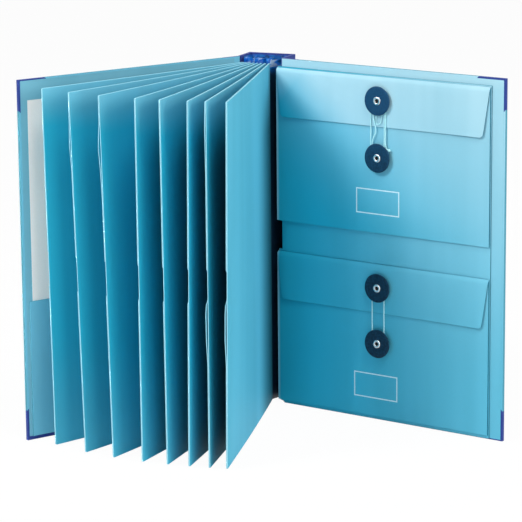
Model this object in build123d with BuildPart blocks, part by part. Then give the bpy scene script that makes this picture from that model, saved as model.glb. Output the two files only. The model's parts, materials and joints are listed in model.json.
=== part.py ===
from build123d import *
import os
from dataclasses import dataclass
from math import atan, atan2, cos, degrees, radians, sin

# Book-bound expanding file for A4 papers, standing open with its pocket leaves fanned.
# Millimetres, +Z up. The origin is the middle of the spine's foot, the leaves fan out
# towards -Y, and the cover with the two string-tied envelopes is on the +X side.

# Sheet of A4 paper that the file is made for, and what the covers add to it
sheet_width = 210.0
sheet_height = 297.0
sheet_thickness = 0.3
cover_width_allowance = 23.0
cover_height_allowance = 23.0

# Case: two covers joined by cloth to a spine with deep sides
case_width = 45.0
case_depth = 28.0
board_thickness = 2.4
skin_thickness = 0.3
lining_thickness = 0.4
hinge_cloth_width = 17.0
corner_leg = 27.0
corner_turn = 6.0
lining_fore_margin = 1.8
lining_wide_margin = 3.4
lining_middle_margin = 1.6
lining_narrow_margin = 1.1
lining_joint_margin = 6.0
spine_lining_margin = 1.5
spine_lining_setback = 8.0

# Opening of the covers from the closed case, in degrees
left_angle = 31.7
right_angle = 76.7

# Pocket leaves, each of two sheets, with their angles from the closed case, left positive
leaf_angles = (25.55, 17.55, 10.5, 3.25, -1.65, -6.35, -9.65, -12.9)
first_leaf_offset = 16.2
leaf_pitch = 3.6
leaf_fore_margin = 3.0
leaf_foot_margin = 1.5
leaf_head_margin = 5.0
leaf_sheet_thickness = 0.75
leaf_corner_radius = 1.5
leaf_root_forward = 3.0
leaf_root_bow = 0.9
thumb_cut_radius = 17.0
thumb_cut_offset = 8.0

# Pleated gusset behind the leaves
gusset_thickness = 0.4
gusset_foot_margin = 1.5
gusset_head_margin = 1.0
gusset_pleat_depth = 16.0
gusset_end_length = 12.0
gusset_end_inset = 1.0

# Pocket of the left cover, made round the sheet that stands in it
pocket_height = 121.5
pocket_joint_room = 2.6
pocket_fore_margin = 5.0
pocket_foot_margin = 3.5
pocket_edge_width = 3.0
pocket_foot_width = 1.2
pocket_edge_depth = 0.8
pocket_front_thickness = 0.6
sheet_side_gap = 0.4
sheet_gap = 0.1

# Envelopes of the right cover, one above the other on a backing sheet
backing_overhang = 4.0
backing_fore_margin = 13.0
backing_foot_margin = 3.5
backing_head_margin = 7.0
backing_thickness = 0.8
envelope_spacing = 27.5
envelope_overhang = 5.0
envelope_fore_margin = 14.0
envelope_edge_width = 7.0
envelope_edge_depth = 0.8
envelope_front_thickness = 0.6
flap_length = 44.5
flap_thickness = 0.6
flap_side_inset = 0.5
flap_spine_taper = 15.0
flap_fore_taper = 7.0
flap_corner_radius = 4.0

# Buttons with their spacers, eyelets and strings
button_radius = 13.0
button_thickness = 1.2
button_edge_chamfer = 0.3
button_below_fold = 21.0
button_spacing = 51.0
button_offset = 1.0
spacer_radius = 5.4
eyelet_flange_radius = 3.75
eyelet_flange_thickness = 0.6
eyelet_foot_thickness = 0.2
eyelet_tube_radius = 2.4
eyelet_bore_radius = 1.8
eyelet_edge_chamfer = 0.2
eyelet_hole_gap = 0.1
string_diameter = 1.2
string_sides = 8
string_clearance = 0.35
string_slack = 2.9
string_end_rise = 4.0
string_tail_rise = 13.0
string_tail_radius = 5.0
string_tail_length = 3.0
string_tail_turn = 75.0
knot_radius = 1.05
knot_length = 2.0

# Clearances used all over
soft_gap = 0.3
running_gap = 0.1
pivot_gap = 0.05

# Directions and turns
up_direction = (0, 0, 1)
half_turn = 180.0
quarter_turn = 90.0

# Levels from a cover's outer face inwards
board_level = skin_thickness + board_thickness
cover_thickness = board_level + skin_thickness
lining_level = board_level + lining_thickness
pocket_level = lining_level + pocket_edge_depth
backing_level = lining_level + backing_thickness
envelope_edge_level = backing_level + envelope_edge_depth
envelope_front_level = envelope_edge_level + envelope_front_thickness
flap_back_level = envelope_front_level + running_gap + eyelet_foot_thickness
flap_front_level = flap_back_level + flap_thickness
flap_fold_radius = (flap_front_level - backing_level - soft_gap) / 2
flap_pivot_level = flap_front_level - flap_fold_radius
string_level = flap_front_level + string_clearance + string_diameter / 2
spacer_level = string_level + string_diameter / 2 + string_clearance
button_level = spacer_level + running_gap
eyelet_level = button_level + button_thickness + running_gap

# Places in plan and up the covers
cover_width = sheet_width + cover_width_allowance
cover_height = sheet_height + cover_height_allowance
back_face = board_level / 2
spine_inner_y = back_face - board_level
joint_y = back_face - case_depth
half_case = case_width / 2
board_across = (skin_thickness, cover_width - skin_thickness)
board_up = (skin_thickness, cover_height - skin_thickness)
board_rise = board_up[1] - board_up[0]
leaf_count = len(leaf_angles)
leaf_row_shares = [2 * number / (leaf_count - 1) - 1 for number in range(leaf_count)]
leaf_row_y = joint_y - leaf_root_forward
leaf_roots = [
    (leaf_pitch * number - first_leaf_offset, leaf_row_y + leaf_root_bow * share**2)
    for number, share in enumerate(leaf_row_shares)
]
leaf_width = cover_width - leaf_root_forward - leaf_fore_margin
leaf_height = cover_height - leaf_foot_margin - leaf_head_margin
backing_head = cover_height - backing_head_margin
envelope_height = (backing_head - backing_foot_margin - envelope_spacing) / 2
envelope_across = (-envelope_overhang, cover_width - envelope_fore_margin)
button_across = sum(envelope_across) / 2 - button_offset
string_turn = spacer_radius + soft_gap + string_diameter / 2
eyelet_hole_radius = eyelet_tube_radius + eyelet_hole_gap


@dataclass
class Cover:
    """A cover's plane, on its outer face at the joint and facing in, and its lining's margins."""

    name: str
    plane: Plane
    run: int
    lining_up: tuple

    def point(self, across, up):
        """Place on the cover's plane, across from the joint and up from the foot."""
        return (self.run * across, up)


@dataclass
class Envelope:
    """An envelope's name and the heights of its foot and of its flap's fold."""

    name: str
    foot: float
    fold: float

    @property
    def front_top(self):
        """Height of the front's upper edge, under the rolled fold."""
        return self.fold - flap_fold_radius - soft_gap

    @property
    def flap_button(self):
        """Height of the button on the flap."""
        return self.fold - button_below_fold

    @property
    def body_button(self):
        """Height of the button on the front."""
        return self.flap_button - button_spacing


left = Cover(
    "left",
    Plane(
        origin=(-half_case, joint_y, 0),
        x_dir=(sin(radians(left_angle)), cos(radians(left_angle)), 0),
        z_dir=(cos(radians(left_angle)), -sin(radians(left_angle)), 0),
    ),
    -1,
    (lining_wide_margin, cover_height - lining_narrow_margin),
)
right = Cover(
    "right",
    Plane(
        origin=(half_case, joint_y, 0),
        x_dir=(sin(radians(right_angle)), -cos(radians(right_angle)), 0),
        z_dir=(-cos(radians(right_angle)), -sin(radians(right_angle)), 0),
    ),
    1,
    (lining_narrow_margin, cover_height - lining_middle_margin),
)
inward = Axis(right.plane.origin, right.plane.z_dir)
upper = Envelope("upper", backing_head - envelope_height, backing_head - flap_fold_radius)
lower = Envelope("lower", backing_foot_margin, backing_foot_margin + envelope_height - flap_fold_radius)

os.makedirs("parts", exist_ok=True)


def save(piece, label):
    """Name a finished piece and write it."""
    piece.part.label = label
    export_step(piece.part, f"parts/{label}.step")


def plan(xs, ys, level):
    """Level rectangle between two X and two Y values."""
    with BuildSketch(Plane.XY.offset(level)) as flat:
        with Locations((sum(xs) / 2, sum(ys) / 2)):
            Rectangle(xs[1] - xs[0], ys[1] - ys[0])
    return flat.sketch


def panel(cover, across, up, level):
    """Rectangle on a cover, at a level in from its outer face."""
    with BuildSketch(cover.plane.offset(level)) as flat:
        with Locations(cover.point(sum(across) / 2, sum(up) / 2)):
            Rectangle(across[1] - across[0], up[1] - up[0])
    return flat.sketch


def outline(cover, corners, level):
    """Straight-sided figure on a cover through the corners given."""
    with BuildSketch(cover.plane.offset(level)) as flat:
        with BuildLine():
            Polyline(*[cover.point(across, up) for across, up in corners], close=True)
        make_face()
    return flat.sketch


def disc(up, radius, level):
    """Circle on the right cover, on the upright line of the buttons."""
    with BuildSketch(right.plane.offset(level)) as flat:
        with Locations(right.point(button_across, up)):
            Circle(radius)
    return flat.sketch


# Spine: a back board and two side boards, cloth outside and a lining inside
side_outer = half_case - skin_thickness
side_inner = half_case - board_level
lining_inner = side_inner - lining_thickness

with BuildPart() as spine_board:
    extrude(
        plan((-side_outer, side_outer), (spine_inner_y, back_face - skin_thickness), skin_thickness),
        amount=board_rise,
    )
save(spine_board, "spine_board")

side_spans = {"left": (-side_outer, -side_inner), "right": (side_inner, side_outer)}
for side, span in side_spans.items():
    with BuildPart() as side_board:
        extrude(plan(span, (joint_y, spine_inner_y), skin_thickness), amount=board_rise)
    save(side_board, f"{side}_side_board")

with BuildPart() as spine_cloth:
    extrude(plan((-half_case, half_case), (joint_y, back_face), 0), amount=cover_height)
    extrude(
        plan((-side_inner, side_inner), (joint_y, spine_inner_y), 0),
        amount=cover_height,
        mode=Mode.SUBTRACT,
    )
    extrude(
        plan((-side_outer, side_outer), (joint_y, back_face - skin_thickness), skin_thickness),
        amount=board_rise,
        mode=Mode.SUBTRACT,
    )
save(spine_cloth, "spine_cloth")

lining_front = joint_y + spine_lining_setback
with BuildPart() as spine_lining:
    extrude(
        plan((-side_inner, side_inner), (lining_front, spine_inner_y), spine_lining_margin),
        amount=cover_height - 2 * spine_lining_margin,
    )
    extrude(
        plan((-lining_inner, lining_inner), (lining_front, spine_inner_y - lining_thickness), 0),
        amount=cover_height,
        mode=Mode.SUBTRACT,
    )
save(spine_lining, "spine_lining")

# Gusset: one strip pleated to a ridge behind each leaf, its ends glued to the spine's sides
ridge_setback = leaf_sheet_thickness + soft_gap + gusset_thickness / 2
valley_y = leaf_row_y + ridge_setback + gusset_pleat_depth
wall_x = lining_inner - gusset_thickness / 2
end_front = lining_front + gusset_end_inset
end_back = end_front + gusset_end_length
ridges = [(-wall_x, end_front)]
ridges.extend((root_x, root_y + ridge_setback) for root_x, root_y in leaf_roots)
ridges.append((wall_x, end_front))
folds = [(-wall_x, end_back), ridges[0]]
for ridge, next_ridge in zip(ridges, ridges[1:]):
    folds.append(((ridge[0] + next_ridge[0]) / 2, valley_y))
    folds.append(next_ridge)
folds.append((wall_x, end_back))

with BuildPart() as gusset:
    with BuildSketch(Plane.XY.offset(gusset_foot_margin)):
        for (x, y), (next_x, next_y) in zip(folds, folds[1:]):
            run = Vector(next_x - x, next_y - y)
            heading = degrees(atan2(run.Y, run.X))
            with Locations(((x + next_x) / 2, (y + next_y) / 2)):
                SlotCenterToCenter(run.length, gusset_thickness, rotation=heading)
    extrude(amount=cover_height - gusset_foot_margin - gusset_head_margin)
save(gusset, "accordion_gusset")

# Leaves: a front and a back sheet each, rounded at the root; the back has a thumb cut
for number, (root, angle) in enumerate(zip(leaf_roots, leaf_angles), start=1):
    pivot = (*root, leaf_foot_margin)
    along = (-sin(radians(angle)), -cos(radians(angle)), 0)
    behind = (-cos(radians(angle)), sin(radians(angle)), 0)
    for label, side in (("front", 1), ("back", -1)):
        face = side * leaf_sheet_thickness
        with BuildPart() as leaf:
            with BuildSketch(Plane(origin=pivot, x_dir=along, z_dir=up_direction)):
                with BuildLine():
                    CenterArc((0, 0), leaf_sheet_thickness, half_turn, -side * quarter_turn)
                    Polyline(
                        (0, face),
                        (leaf_width, face),
                        (leaf_width, 0),
                        (-leaf_sheet_thickness, 0),
                    )
                make_face()
            extrude(amount=leaf_height)
            with BuildSketch(Plane(origin=pivot, x_dir=along, z_dir=behind)) as profile:
                with Locations((leaf_width / 2, leaf_height / 2)):
                    Rectangle(leaf_width, leaf_height)
                fillet(profile.vertices().group_by(Axis.X)[-1], leaf_corner_radius)
                with Locations((0, leaf_height / 2)):
                    Rectangle(2 * leaf_sheet_thickness, leaf_height)
                if label == "back":
                    with Locations((leaf_width + thumb_cut_offset, leaf_height / 2)):
                        Circle(thumb_cut_radius, mode=Mode.SUBTRACT)
            extrude(amount=leaf_sheet_thickness, both=True, mode=Mode.INTERSECT)
        save(leaf, f"leaf_{number}_{label}")


# Covers: a board in a skin of paper, with cloth at the joint and at the two fore corners
def wrap(cover):
    """Skin round a cover's board, open on the inside where the lining lies."""
    with BuildPart() as shell:
        extrude(panel(cover, (0, cover_width), (0, cover_height), 0), amount=cover_thickness)
        extrude(panel(cover, board_across, board_up, skin_thickness), amount=board_thickness, mode=Mode.SUBTRACT)
        extrude(panel(cover, lining_across, cover.lining_up, board_level), amount=skin_thickness, mode=Mode.SUBTRACT)
    return shell.part


def corner_block(cover, edge, side):
    """Room of a corner's cloth: a triangle outside that turns in over both edges."""
    leg = side * corner_leg
    turn = side * corner_turn
    fore = cover_width
    outside = [(fore, edge), (fore - corner_leg, edge), (fore, edge + leg)]
    inside = [
        (fore, edge),
        (fore - corner_leg, edge),
        (fore - corner_leg - corner_turn, edge + turn),
        (fore - corner_turn, edge + leg + turn),
        (fore, edge + leg),
    ]
    with BuildPart() as block:
        extrude(outline(cover, outside, 0), amount=board_level)
        extrude(outline(cover, inside, board_level), amount=skin_thickness)
    return block.part


lining_across = (lining_joint_margin, cover_width - lining_fore_margin)
for cover in (left, right):
    shell = wrap(cover)
    corners = {"top": corner_block(cover, cover_height, -1), "bottom": corner_block(cover, 0, 1)}
    joint_strip = panel(cover, (0, hinge_cloth_width), (0, cover_height), 0)

    with BuildPart() as board:
        extrude(panel(cover, board_across, board_up, skin_thickness), amount=board_thickness)
    save(board, f"{cover.name}_board")

    with BuildPart() as lining:
        extrude(panel(cover, lining_across, cover.lining_up, board_level), amount=lining_thickness)
    save(lining, f"{cover.name}_lining")

    with BuildPart() as hinge_cloth:
        add(shell)
        extrude(joint_strip, amount=board_level, mode=Mode.INTERSECT)
    save(hinge_cloth, f"{cover.name}_hinge_cloth")

    with BuildPart() as cover_paper:
        add(shell)
        extrude(joint_strip, amount=board_level, mode=Mode.SUBTRACT)
        add(corners["top"], mode=Mode.SUBTRACT)
        add(corners["bottom"], mode=Mode.SUBTRACT)
    save(cover_paper, f"{cover.name}_cover_paper")

    for place, block in corners.items():
        with BuildPart() as corner:
            add(shell)
            add(block, mode=Mode.INTERSECT)
        save(corner, f"{cover.name}_{place}_corner")

# Pocket of the left cover: edges glued to the lining, a front on them, and the A4 sheet
pocket_fore = cover_width - pocket_fore_margin
sheet_fore = pocket_fore - pocket_edge_width - sheet_side_gap
sheet_across = (sheet_fore - sheet_width, sheet_fore)
pocket_inside = (sheet_across[0] - pocket_joint_room, pocket_fore - pocket_edge_width)
pocket_across = (pocket_inside[0] - pocket_edge_width, pocket_fore)
pocket_up = (pocket_foot_margin, pocket_foot_margin + pocket_height)
pocket_floor = pocket_foot_margin + pocket_foot_width
sheet_foot = pocket_floor + sheet_gap
with BuildPart() as pocket_edges:
    extrude(panel(left, pocket_across, pocket_up, lining_level), amount=pocket_edge_depth)
    extrude(
        panel(left, pocket_inside, (pocket_floor, pocket_up[1]), lining_level),
        amount=pocket_edge_depth,
        mode=Mode.SUBTRACT,
    )
save(pocket_edges, "left_pocket_edges")

with BuildPart() as pocket_front:
    extrude(panel(left, pocket_across, pocket_up, pocket_level), amount=pocket_front_thickness)
save(pocket_front, "left_pocket_front")

with BuildPart() as insert_sheet:
    extrude(
        panel(left, sheet_across, (sheet_foot, sheet_foot + sheet_height), lining_level + sheet_gap),
        amount=sheet_thickness,
    )
save(insert_sheet, "insert_sheet")

# Envelopes: a shared backing sheet, then glued edges, a front and a flap for each
with BuildPart() as backing:
    extrude(
        panel(
            right,
            (-backing_overhang, cover_width - backing_fore_margin),
            (backing_foot_margin, backing_head),
            lining_level,
        ),
        amount=backing_thickness,
    )
save(backing, "envelope_backing")

edge_inside = (envelope_across[0] + envelope_edge_width, envelope_across[1] - envelope_edge_width)
fold_across = (envelope_across[0] + flap_side_inset, envelope_across[1] - flap_side_inset)
fold_axis = Plane(
    origin=right.plane.from_local_coords((fold_across[0], 0, flap_pivot_level)),
    x_dir=right.plane.y_dir,
    z_dir=right.plane.x_dir,
)


def spacer(up, foot):
    """Boss that holds a button off the paper and takes the string's turn."""
    with BuildPart() as boss:
        extrude(disc(up, spacer_radius, foot), amount=spacer_level - foot)
        extrude(disc(up, eyelet_hole_radius, foot), amount=spacer_level - foot, mode=Mode.SUBTRACT)
    return boss


def eyelet(up, seat):
    """Tube with a flange over the button and a thin one clinched behind the paper at the seat."""
    foot = seat - eyelet_foot_thickness
    rise = eyelet_level + eyelet_flange_thickness - foot
    with BuildPart() as ring:
        extrude(disc(up, eyelet_flange_radius, foot), amount=eyelet_foot_thickness)
        extrude(disc(up, eyelet_tube_radius, foot), amount=rise)
        extrude(disc(up, eyelet_flange_radius, eyelet_level), amount=eyelet_flange_thickness)
        extrude(disc(up, eyelet_bore_radius, foot), amount=rise, mode=Mode.SUBTRACT)
        chamfer(ring.edges().filter_by(GeomType.CIRCLE).group_by(inward)[-1], eyelet_edge_chamfer)
    return ring


def button(up):
    """Round card disc that turns on its eyelet."""
    with BuildPart() as card:
        extrude(disc(up, button_radius, button_level), amount=button_thickness)
        chamfer(card.faces().sort_by(inward)[-1].edges(), button_edge_chamfer)
        extrude(
            disc(up, eyelet_tube_radius + pivot_gap, button_level),
            amount=button_thickness,
            mode=Mode.SUBTRACT,
        )
    return card


for envelope in (upper, lower):
    edge_up = (envelope.foot, envelope.front_top)
    with BuildPart() as envelope_edges:
        extrude(panel(right, envelope_across, edge_up, backing_level), amount=envelope_edge_depth)
        extrude(
            panel(right, edge_inside, (envelope.foot + envelope_edge_width, envelope.front_top), backing_level),
            amount=envelope_edge_depth,
            mode=Mode.SUBTRACT,
        )
    save(envelope_edges, f"{envelope.name}_envelope_edges")

    with BuildPart() as envelope_front:
        extrude(
            panel(right, envelope_across, edge_up, envelope_edge_level),
            amount=envelope_front_thickness,
        )
        extrude(
            disc(envelope.body_button, eyelet_hole_radius, envelope_edge_level),
            amount=envelope_front_thickness,
            mode=Mode.SUBTRACT,
        )
    save(envelope_front, f"{envelope.name}_envelope_front")

    flap_foot = envelope.fold - flap_length
    with BuildPart() as flap:
        with BuildSketch(right.plane.offset(flap_back_level)) as flap_outline:
            with BuildLine():
                Polyline(
                    (fold_across[0], envelope.fold),
                    (fold_across[0] + flap_spine_taper, flap_foot),
                    (fold_across[1] - flap_fore_taper, flap_foot),
                    (fold_across[1], envelope.fold),
                    close=True,
                )
            make_face()
            fillet(flap_outline.vertices().group_by(Axis.Y)[0], flap_corner_radius)
        extrude(amount=flap_thickness)
        with BuildSketch(fold_axis):
            with Locations((envelope.fold, 0)):
                Circle(flap_fold_radius)
        extrude(amount=fold_across[1] - fold_across[0])
        extrude(
            disc(envelope.flap_button, eyelet_hole_radius, flap_back_level),
            amount=flap_thickness,
            mode=Mode.SUBTRACT,
        )
    save(flap, f"{envelope.name}_flap")

    save(spacer(envelope.flap_button, flap_front_level), f"{envelope.name}_flap_spacer")
    save(spacer(envelope.body_button, envelope_front_level), f"{envelope.name}_body_spacer")
    save(eyelet(envelope.flap_button, flap_back_level), f"{envelope.name}_flap_eyelet")
    save(eyelet(envelope.body_button, envelope_edge_level), f"{envelope.name}_body_eyelet")
    save(button(envelope.flap_button), f"{envelope.name}_flap_button")
    save(button(envelope.body_button), f"{envelope.name}_body_button")


# Strings: each runs under the front's button, up, over the flap's button and down again
def string(route, knotted):
    """Cord of few flat sides along a flat route drawn on the buttons' level."""
    path = Location(right.plane.offset(string_level)) * route.wire()
    with BuildPart() as cord:
        with BuildSketch(Plane(origin=path @ 0, z_dir=path % 0)):
            RegularPolygon(string_diameter / 2, string_sides)
        sweep(path=path)
        if knotted:
            with BuildSketch(Plane(origin=path @ 1, z_dir=path % 1)):
                RegularPolygon(knot_radius, string_sides)
            extrude(amount=knot_length / 2, both=True)
    return cord


heading_up = (0, 1)
heading_down = (0, -1)
left_strand = button_across - string_turn
right_strand = button_across + string_turn

with BuildLine() as tight_route:
    turn_under = JernArc((right_strand, lower.body_button), heading_down, string_turn, -half_turn)
    Line(turn_under @ 1, (left_strand, lower.flap_button))
    turn_over = JernArc((left_strand, lower.flap_button), heading_up, string_turn, -half_turn)
    Line(turn_over @ 1, (right_strand, lower.body_button + string_end_rise))
save(string(tight_route, False), "lower_string")

sway = 2 * degrees(atan(2 * string_slack / button_spacing))
sway_radius = button_spacing / (4 * sin(radians(sway)))
with BuildLine() as slack_route:
    turn_under = JernArc((right_strand, upper.body_button), heading_down, string_turn, -half_turn)
    sway_in = JernArc(turn_under @ 1, turn_under % 1, sway_radius, -sway)
    sway_round = JernArc(sway_in @ 1, sway_in % 1, sway_radius, 2 * sway)
    sway_out = JernArc(sway_round @ 1, sway_round % 1, sway_radius, -sway)
    turn_over = JernArc(sway_out @ 1, sway_out % 1, string_turn, -half_turn)
    drop = Line(turn_over @ 1, (right_strand, upper.body_button + string_tail_rise))
    tail = JernArc(drop @ 1, drop % 1, string_tail_radius, string_tail_turn)
    Line(tail @ 1, tail @ 1 + string_tail_length * (tail % 1))
save(string(slack_route, True), "upper_string")
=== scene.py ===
"""Looks of a hard-cover expanding file: card leaves, string-tied envelopes and a pleated cloth spine."""

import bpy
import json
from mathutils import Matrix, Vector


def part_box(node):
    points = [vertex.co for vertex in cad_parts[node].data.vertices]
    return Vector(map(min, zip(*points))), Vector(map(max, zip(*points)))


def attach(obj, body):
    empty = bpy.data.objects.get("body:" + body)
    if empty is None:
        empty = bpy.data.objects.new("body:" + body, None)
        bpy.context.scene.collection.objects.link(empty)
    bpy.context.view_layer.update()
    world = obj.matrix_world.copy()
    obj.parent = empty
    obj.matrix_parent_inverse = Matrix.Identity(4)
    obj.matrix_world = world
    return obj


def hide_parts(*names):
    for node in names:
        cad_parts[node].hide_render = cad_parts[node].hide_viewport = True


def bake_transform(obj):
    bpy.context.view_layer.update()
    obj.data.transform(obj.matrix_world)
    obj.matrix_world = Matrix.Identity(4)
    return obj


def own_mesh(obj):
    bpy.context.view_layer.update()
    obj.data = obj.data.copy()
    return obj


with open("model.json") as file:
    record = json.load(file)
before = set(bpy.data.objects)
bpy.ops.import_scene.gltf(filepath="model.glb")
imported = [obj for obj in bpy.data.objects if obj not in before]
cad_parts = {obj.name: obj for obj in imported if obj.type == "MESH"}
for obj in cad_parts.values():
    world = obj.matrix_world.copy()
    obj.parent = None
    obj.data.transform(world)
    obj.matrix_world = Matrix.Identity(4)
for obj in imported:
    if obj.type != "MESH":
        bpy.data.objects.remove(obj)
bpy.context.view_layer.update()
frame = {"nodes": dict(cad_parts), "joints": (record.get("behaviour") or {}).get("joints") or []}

import json
import logging
import math
from dataclasses import dataclass
from enum import Enum
from typing import Any, Callable, Dict, List, Mapping, Optional, Sequence, Tuple, Union

import bpy
from mathutils import Color, Matrix, Vector

Colour = Tuple[float, float, float, float]
Pair = Tuple[float, float]
Triple = Tuple[float, float, float]
Ring = List[Tuple[Vector, float]]
Walk = List[Tuple[Vector, Vector]]
Placer = Callable[[float, float, float], Vector]
Material = bpy.types.Material
Piece = bpy.types.Object

LOG = logging.getLogger("expanding_file")
MM = 0.001
TURN = 2 * math.pi
UP = Vector((0.0, 0.0, 1.0))
BYTE = 255
WHITE: Colour = (1.0, 1.0, 1.0, 1.0)


def tint(red: int, green: int, blue: int) -> Colour:
    """Turns a colour written in screen bytes into linear light.

    Args:
        red: Red from 0 to 255.
        green: Green from 0 to 255.
        blue: Blue from 0 to 255.

    Returns:
        The colour as linear red, green, blue and alpha.
    """
    screen = Color((red / BYTE, green / BYTE, blue / BYTE))
    return (*screen.from_srgb_to_scene_linear(), 1.0)


def shade(colour: Colour, share: float) -> Colour:
    """Returns a colour with each channel multiplied by a share, kept within white."""
    return tuple(min(1.0, channel * share) for channel in colour[:3]) + (1.0,)


def tones(colour: Colour, shares: Pair) -> List[Colour]:
    """Returns a deep and a light tone of a colour."""
    return [shade(colour, share) for share in shares]


def part_way(ends: Pair, share: float) -> float:
    """Returns the number that lies a share of the way between two."""
    return ends[0] + (ends[1] - ends[0]) * share


def rounded(radius: float, near: float) -> float:
    """Returns how far a rounded corner cuts in at a distance from the end of its edge."""
    rest = min(radius, max(0.0, radius - near))
    return radius - math.sqrt(radius ** 2 - rest ** 2)


def stops(count: int, rim: float) -> List[float]:
    """Divides 0 to 1 evenly, with one more line close to each end.

    Args:
        count: Number of even steps.
        rim: Share between an end and its close line.

    Returns:
        The places of the lines.
    """
    inner = [index / count for index in range(1, count)]
    return [0.0, rim, *inner, 1.0 - rim, 1.0]


class Socket:
    """A node's output that takes part in sums; each operator adds a Math node."""

    def __init__(self, graph: "Graph", output: bpy.types.NodeSocket) -> None:
        """Keeps the output and the graph that it belongs to.

        Args:
            graph: The graph that new nodes go into.
            output: The node output that this stands for.
        """
        self.graph = graph
        self.output = output

    def math(self, operation: str, *terms: "Term") -> "Socket":
        """Adds one Math node.

        Args:
            operation: Blender's name for the operation.
            terms: Numbers or sockets, in the node's order.

        Returns:
            The node's result.
        """
        return self.graph.node("ShaderNodeMath", {"operation": operation}, dict(enumerate(terms)))

    def __add__(self, other: "Term") -> "Socket":
        """Returns the value plus another."""
        return self.math("ADD", self, other)

    def __radd__(self, other: "Term") -> "Socket":
        """Returns another value plus this one."""
        return self.math("ADD", other, self)

    def __sub__(self, other: "Term") -> "Socket":
        """Returns the value less another."""
        return self.math("SUBTRACT", self, other)

    def __rsub__(self, other: "Term") -> "Socket":
        """Returns another value less this one."""
        return self.math("SUBTRACT", other, self)

    def __mul__(self, other: "Term") -> "Socket":
        """Returns the value times another."""
        return self.math("MULTIPLY", self, other)

    def __rmul__(self, other: "Term") -> "Socket":
        """Returns another value times this one."""
        return self.math("MULTIPLY", other, self)

    def __abs__(self) -> "Socket":
        """Returns the value without its sign."""
        return self.math("ABSOLUTE", self)

    def larger(self, other: "Term") -> "Socket":
        """Returns the larger of the value and another."""
        return self.math("MAXIMUM", self, other)

    def smaller(self, other: "Term") -> "Socket":
        """Returns the smaller of the value and another."""
        return self.math("MINIMUM", self, other)

    def below(self, limit: float) -> "Socket":
        """Returns 1 where the value is under a limit and 0 elsewhere."""
        return self.math("LESS_THAN", self, limit)

    def sine(self) -> "Socket":
        """Returns the sine of the value in radians."""
        return self.math("SINE", self)

    def between(self, ends: Pair) -> "Socket":
        """Returns the first number where the value is 0, the second where it is 1, and between them."""
        return ends[0] + (ends[1] - ends[0]) * self

    def ramp(self, ends: Pair, unit: float = 1.0) -> "Socket":
        """Rises smoothly from 0 to 1.

        Args:
            ends: The values that give 0 and 1.
            unit: What both are multiplied by, such as MM for ends in millimetres.

        Returns:
            The share between the two values.
        """
        inputs = {"Value": self, "From Min": ends[0] * unit, "From Max": ends[1] * unit}
        return self.graph.node("ShaderNodeMapRange", {"interpolation_type": "SMOOTHSTEP"}, inputs)


Term = Union[float, Socket]


@dataclass(frozen=True)
class Grain:
    """Soft noise: features in a metre, number of finer layers, and how much each axis is squeezed."""

    scale: float
    detail: float = 2.0
    stretch: Triple = (1.0, 1.0, 1.0)


class Graph:
    """A node tree with short ways to add the nodes that the finishes use.

    FIRST, SECOND and MIXED are the places of a Mix node's colour sockets.
    """

    FIRST = 6
    SECOND = 7
    MIXED = 2

    def __init__(self, tree: bpy.types.NodeTree) -> None:
        """Takes over a node tree.

        Args:
            tree: The tree that gets the nodes.
        """
        self.tree = tree

    def node(
        self,
        kind: str,
        settings: Optional[Mapping[str, Any]] = None,
        inputs: Optional[Mapping[Any, Any]] = None,
        output: Union[int, str] = 0,
    ) -> Socket:
        """Adds any node, its settings first and then its sockets.

        Args:
            kind: The node's type.
            settings: Values for the node's own properties.
            inputs: Values or sockets for its inputs, by name or place.
            output: Which output is wanted.

        Returns:
            That output.
        """
        made = self.tree.nodes.new(kind)
        for name, value in (settings or {}).items():
            setattr(made, name, value)
        for key, value in (inputs or {}).items():
            self.feed(made.inputs[key], value)
        return Socket(self, made.outputs[output])

    def feed(self, target: bpy.types.NodeSocket, value: Any) -> None:
        """Gives an input a constant or a link.

        Args:
            target: The input.
            value: A constant or a Socket.
        """
        if isinstance(value, Socket):
            self.tree.links.new(value.output, target)
        else:
            target.default_value = value

    def place(self) -> Socket:
        """Returns the point in the part's own frame, in metres."""
        return self.node("ShaderNodeTexCoord", output="Object")

    def along(self, direction: Sequence[float], source: Optional[Socket] = None) -> Socket:
        """Measures the point, or another vector, along a direction.

        Args:
            direction: The direction to measure along.
            source: The vector that is measured, or None for the point.

        Returns:
            The distance.
        """
        vector = self.place() if source is None else source
        inputs = {0: vector, 1: tuple(direction)}
        return self.node("ShaderNodeVectorMath", {"operation": "DOT_PRODUCT"}, inputs, "Value")

    def noise(self, grain: Grain) -> Socket:
        """Adds soft noise in the part's own frame.

        Args:
            grain: The kind of noise.

        Returns:
            The noise, from 0 to 1.
        """
        inputs = {0: self.place(), 1: grain.stretch}
        point = self.node("ShaderNodeVectorMath", {"operation": "MULTIPLY"}, inputs)
        inputs = {"Vector": point, "Scale": grain.scale, "Detail": grain.detail}
        return self.node("ShaderNodeTexNoise", None, inputs)

    def mix(self, factor: Term, first: Any, second: Any) -> Socket:
        """Mixes two colours.

        Args:
            factor: Share of the second colour.
            first: A colour or a socket.
            second: A colour or a socket.

        Returns:
            The mixed colour.
        """
        inputs = {0: factor, self.FIRST: first, self.SECOND: second}
        return self.node("ShaderNodeMix", {"data_type": "RGBA"}, inputs, self.MIXED)

    def painted(self, name: str) -> Socket:
        """Returns the number that a mesh carries on its points, or 0 where it has none."""
        return self.node("ShaderNodeAttribute", {"attribute_name": name}, None, "Fac")


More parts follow.
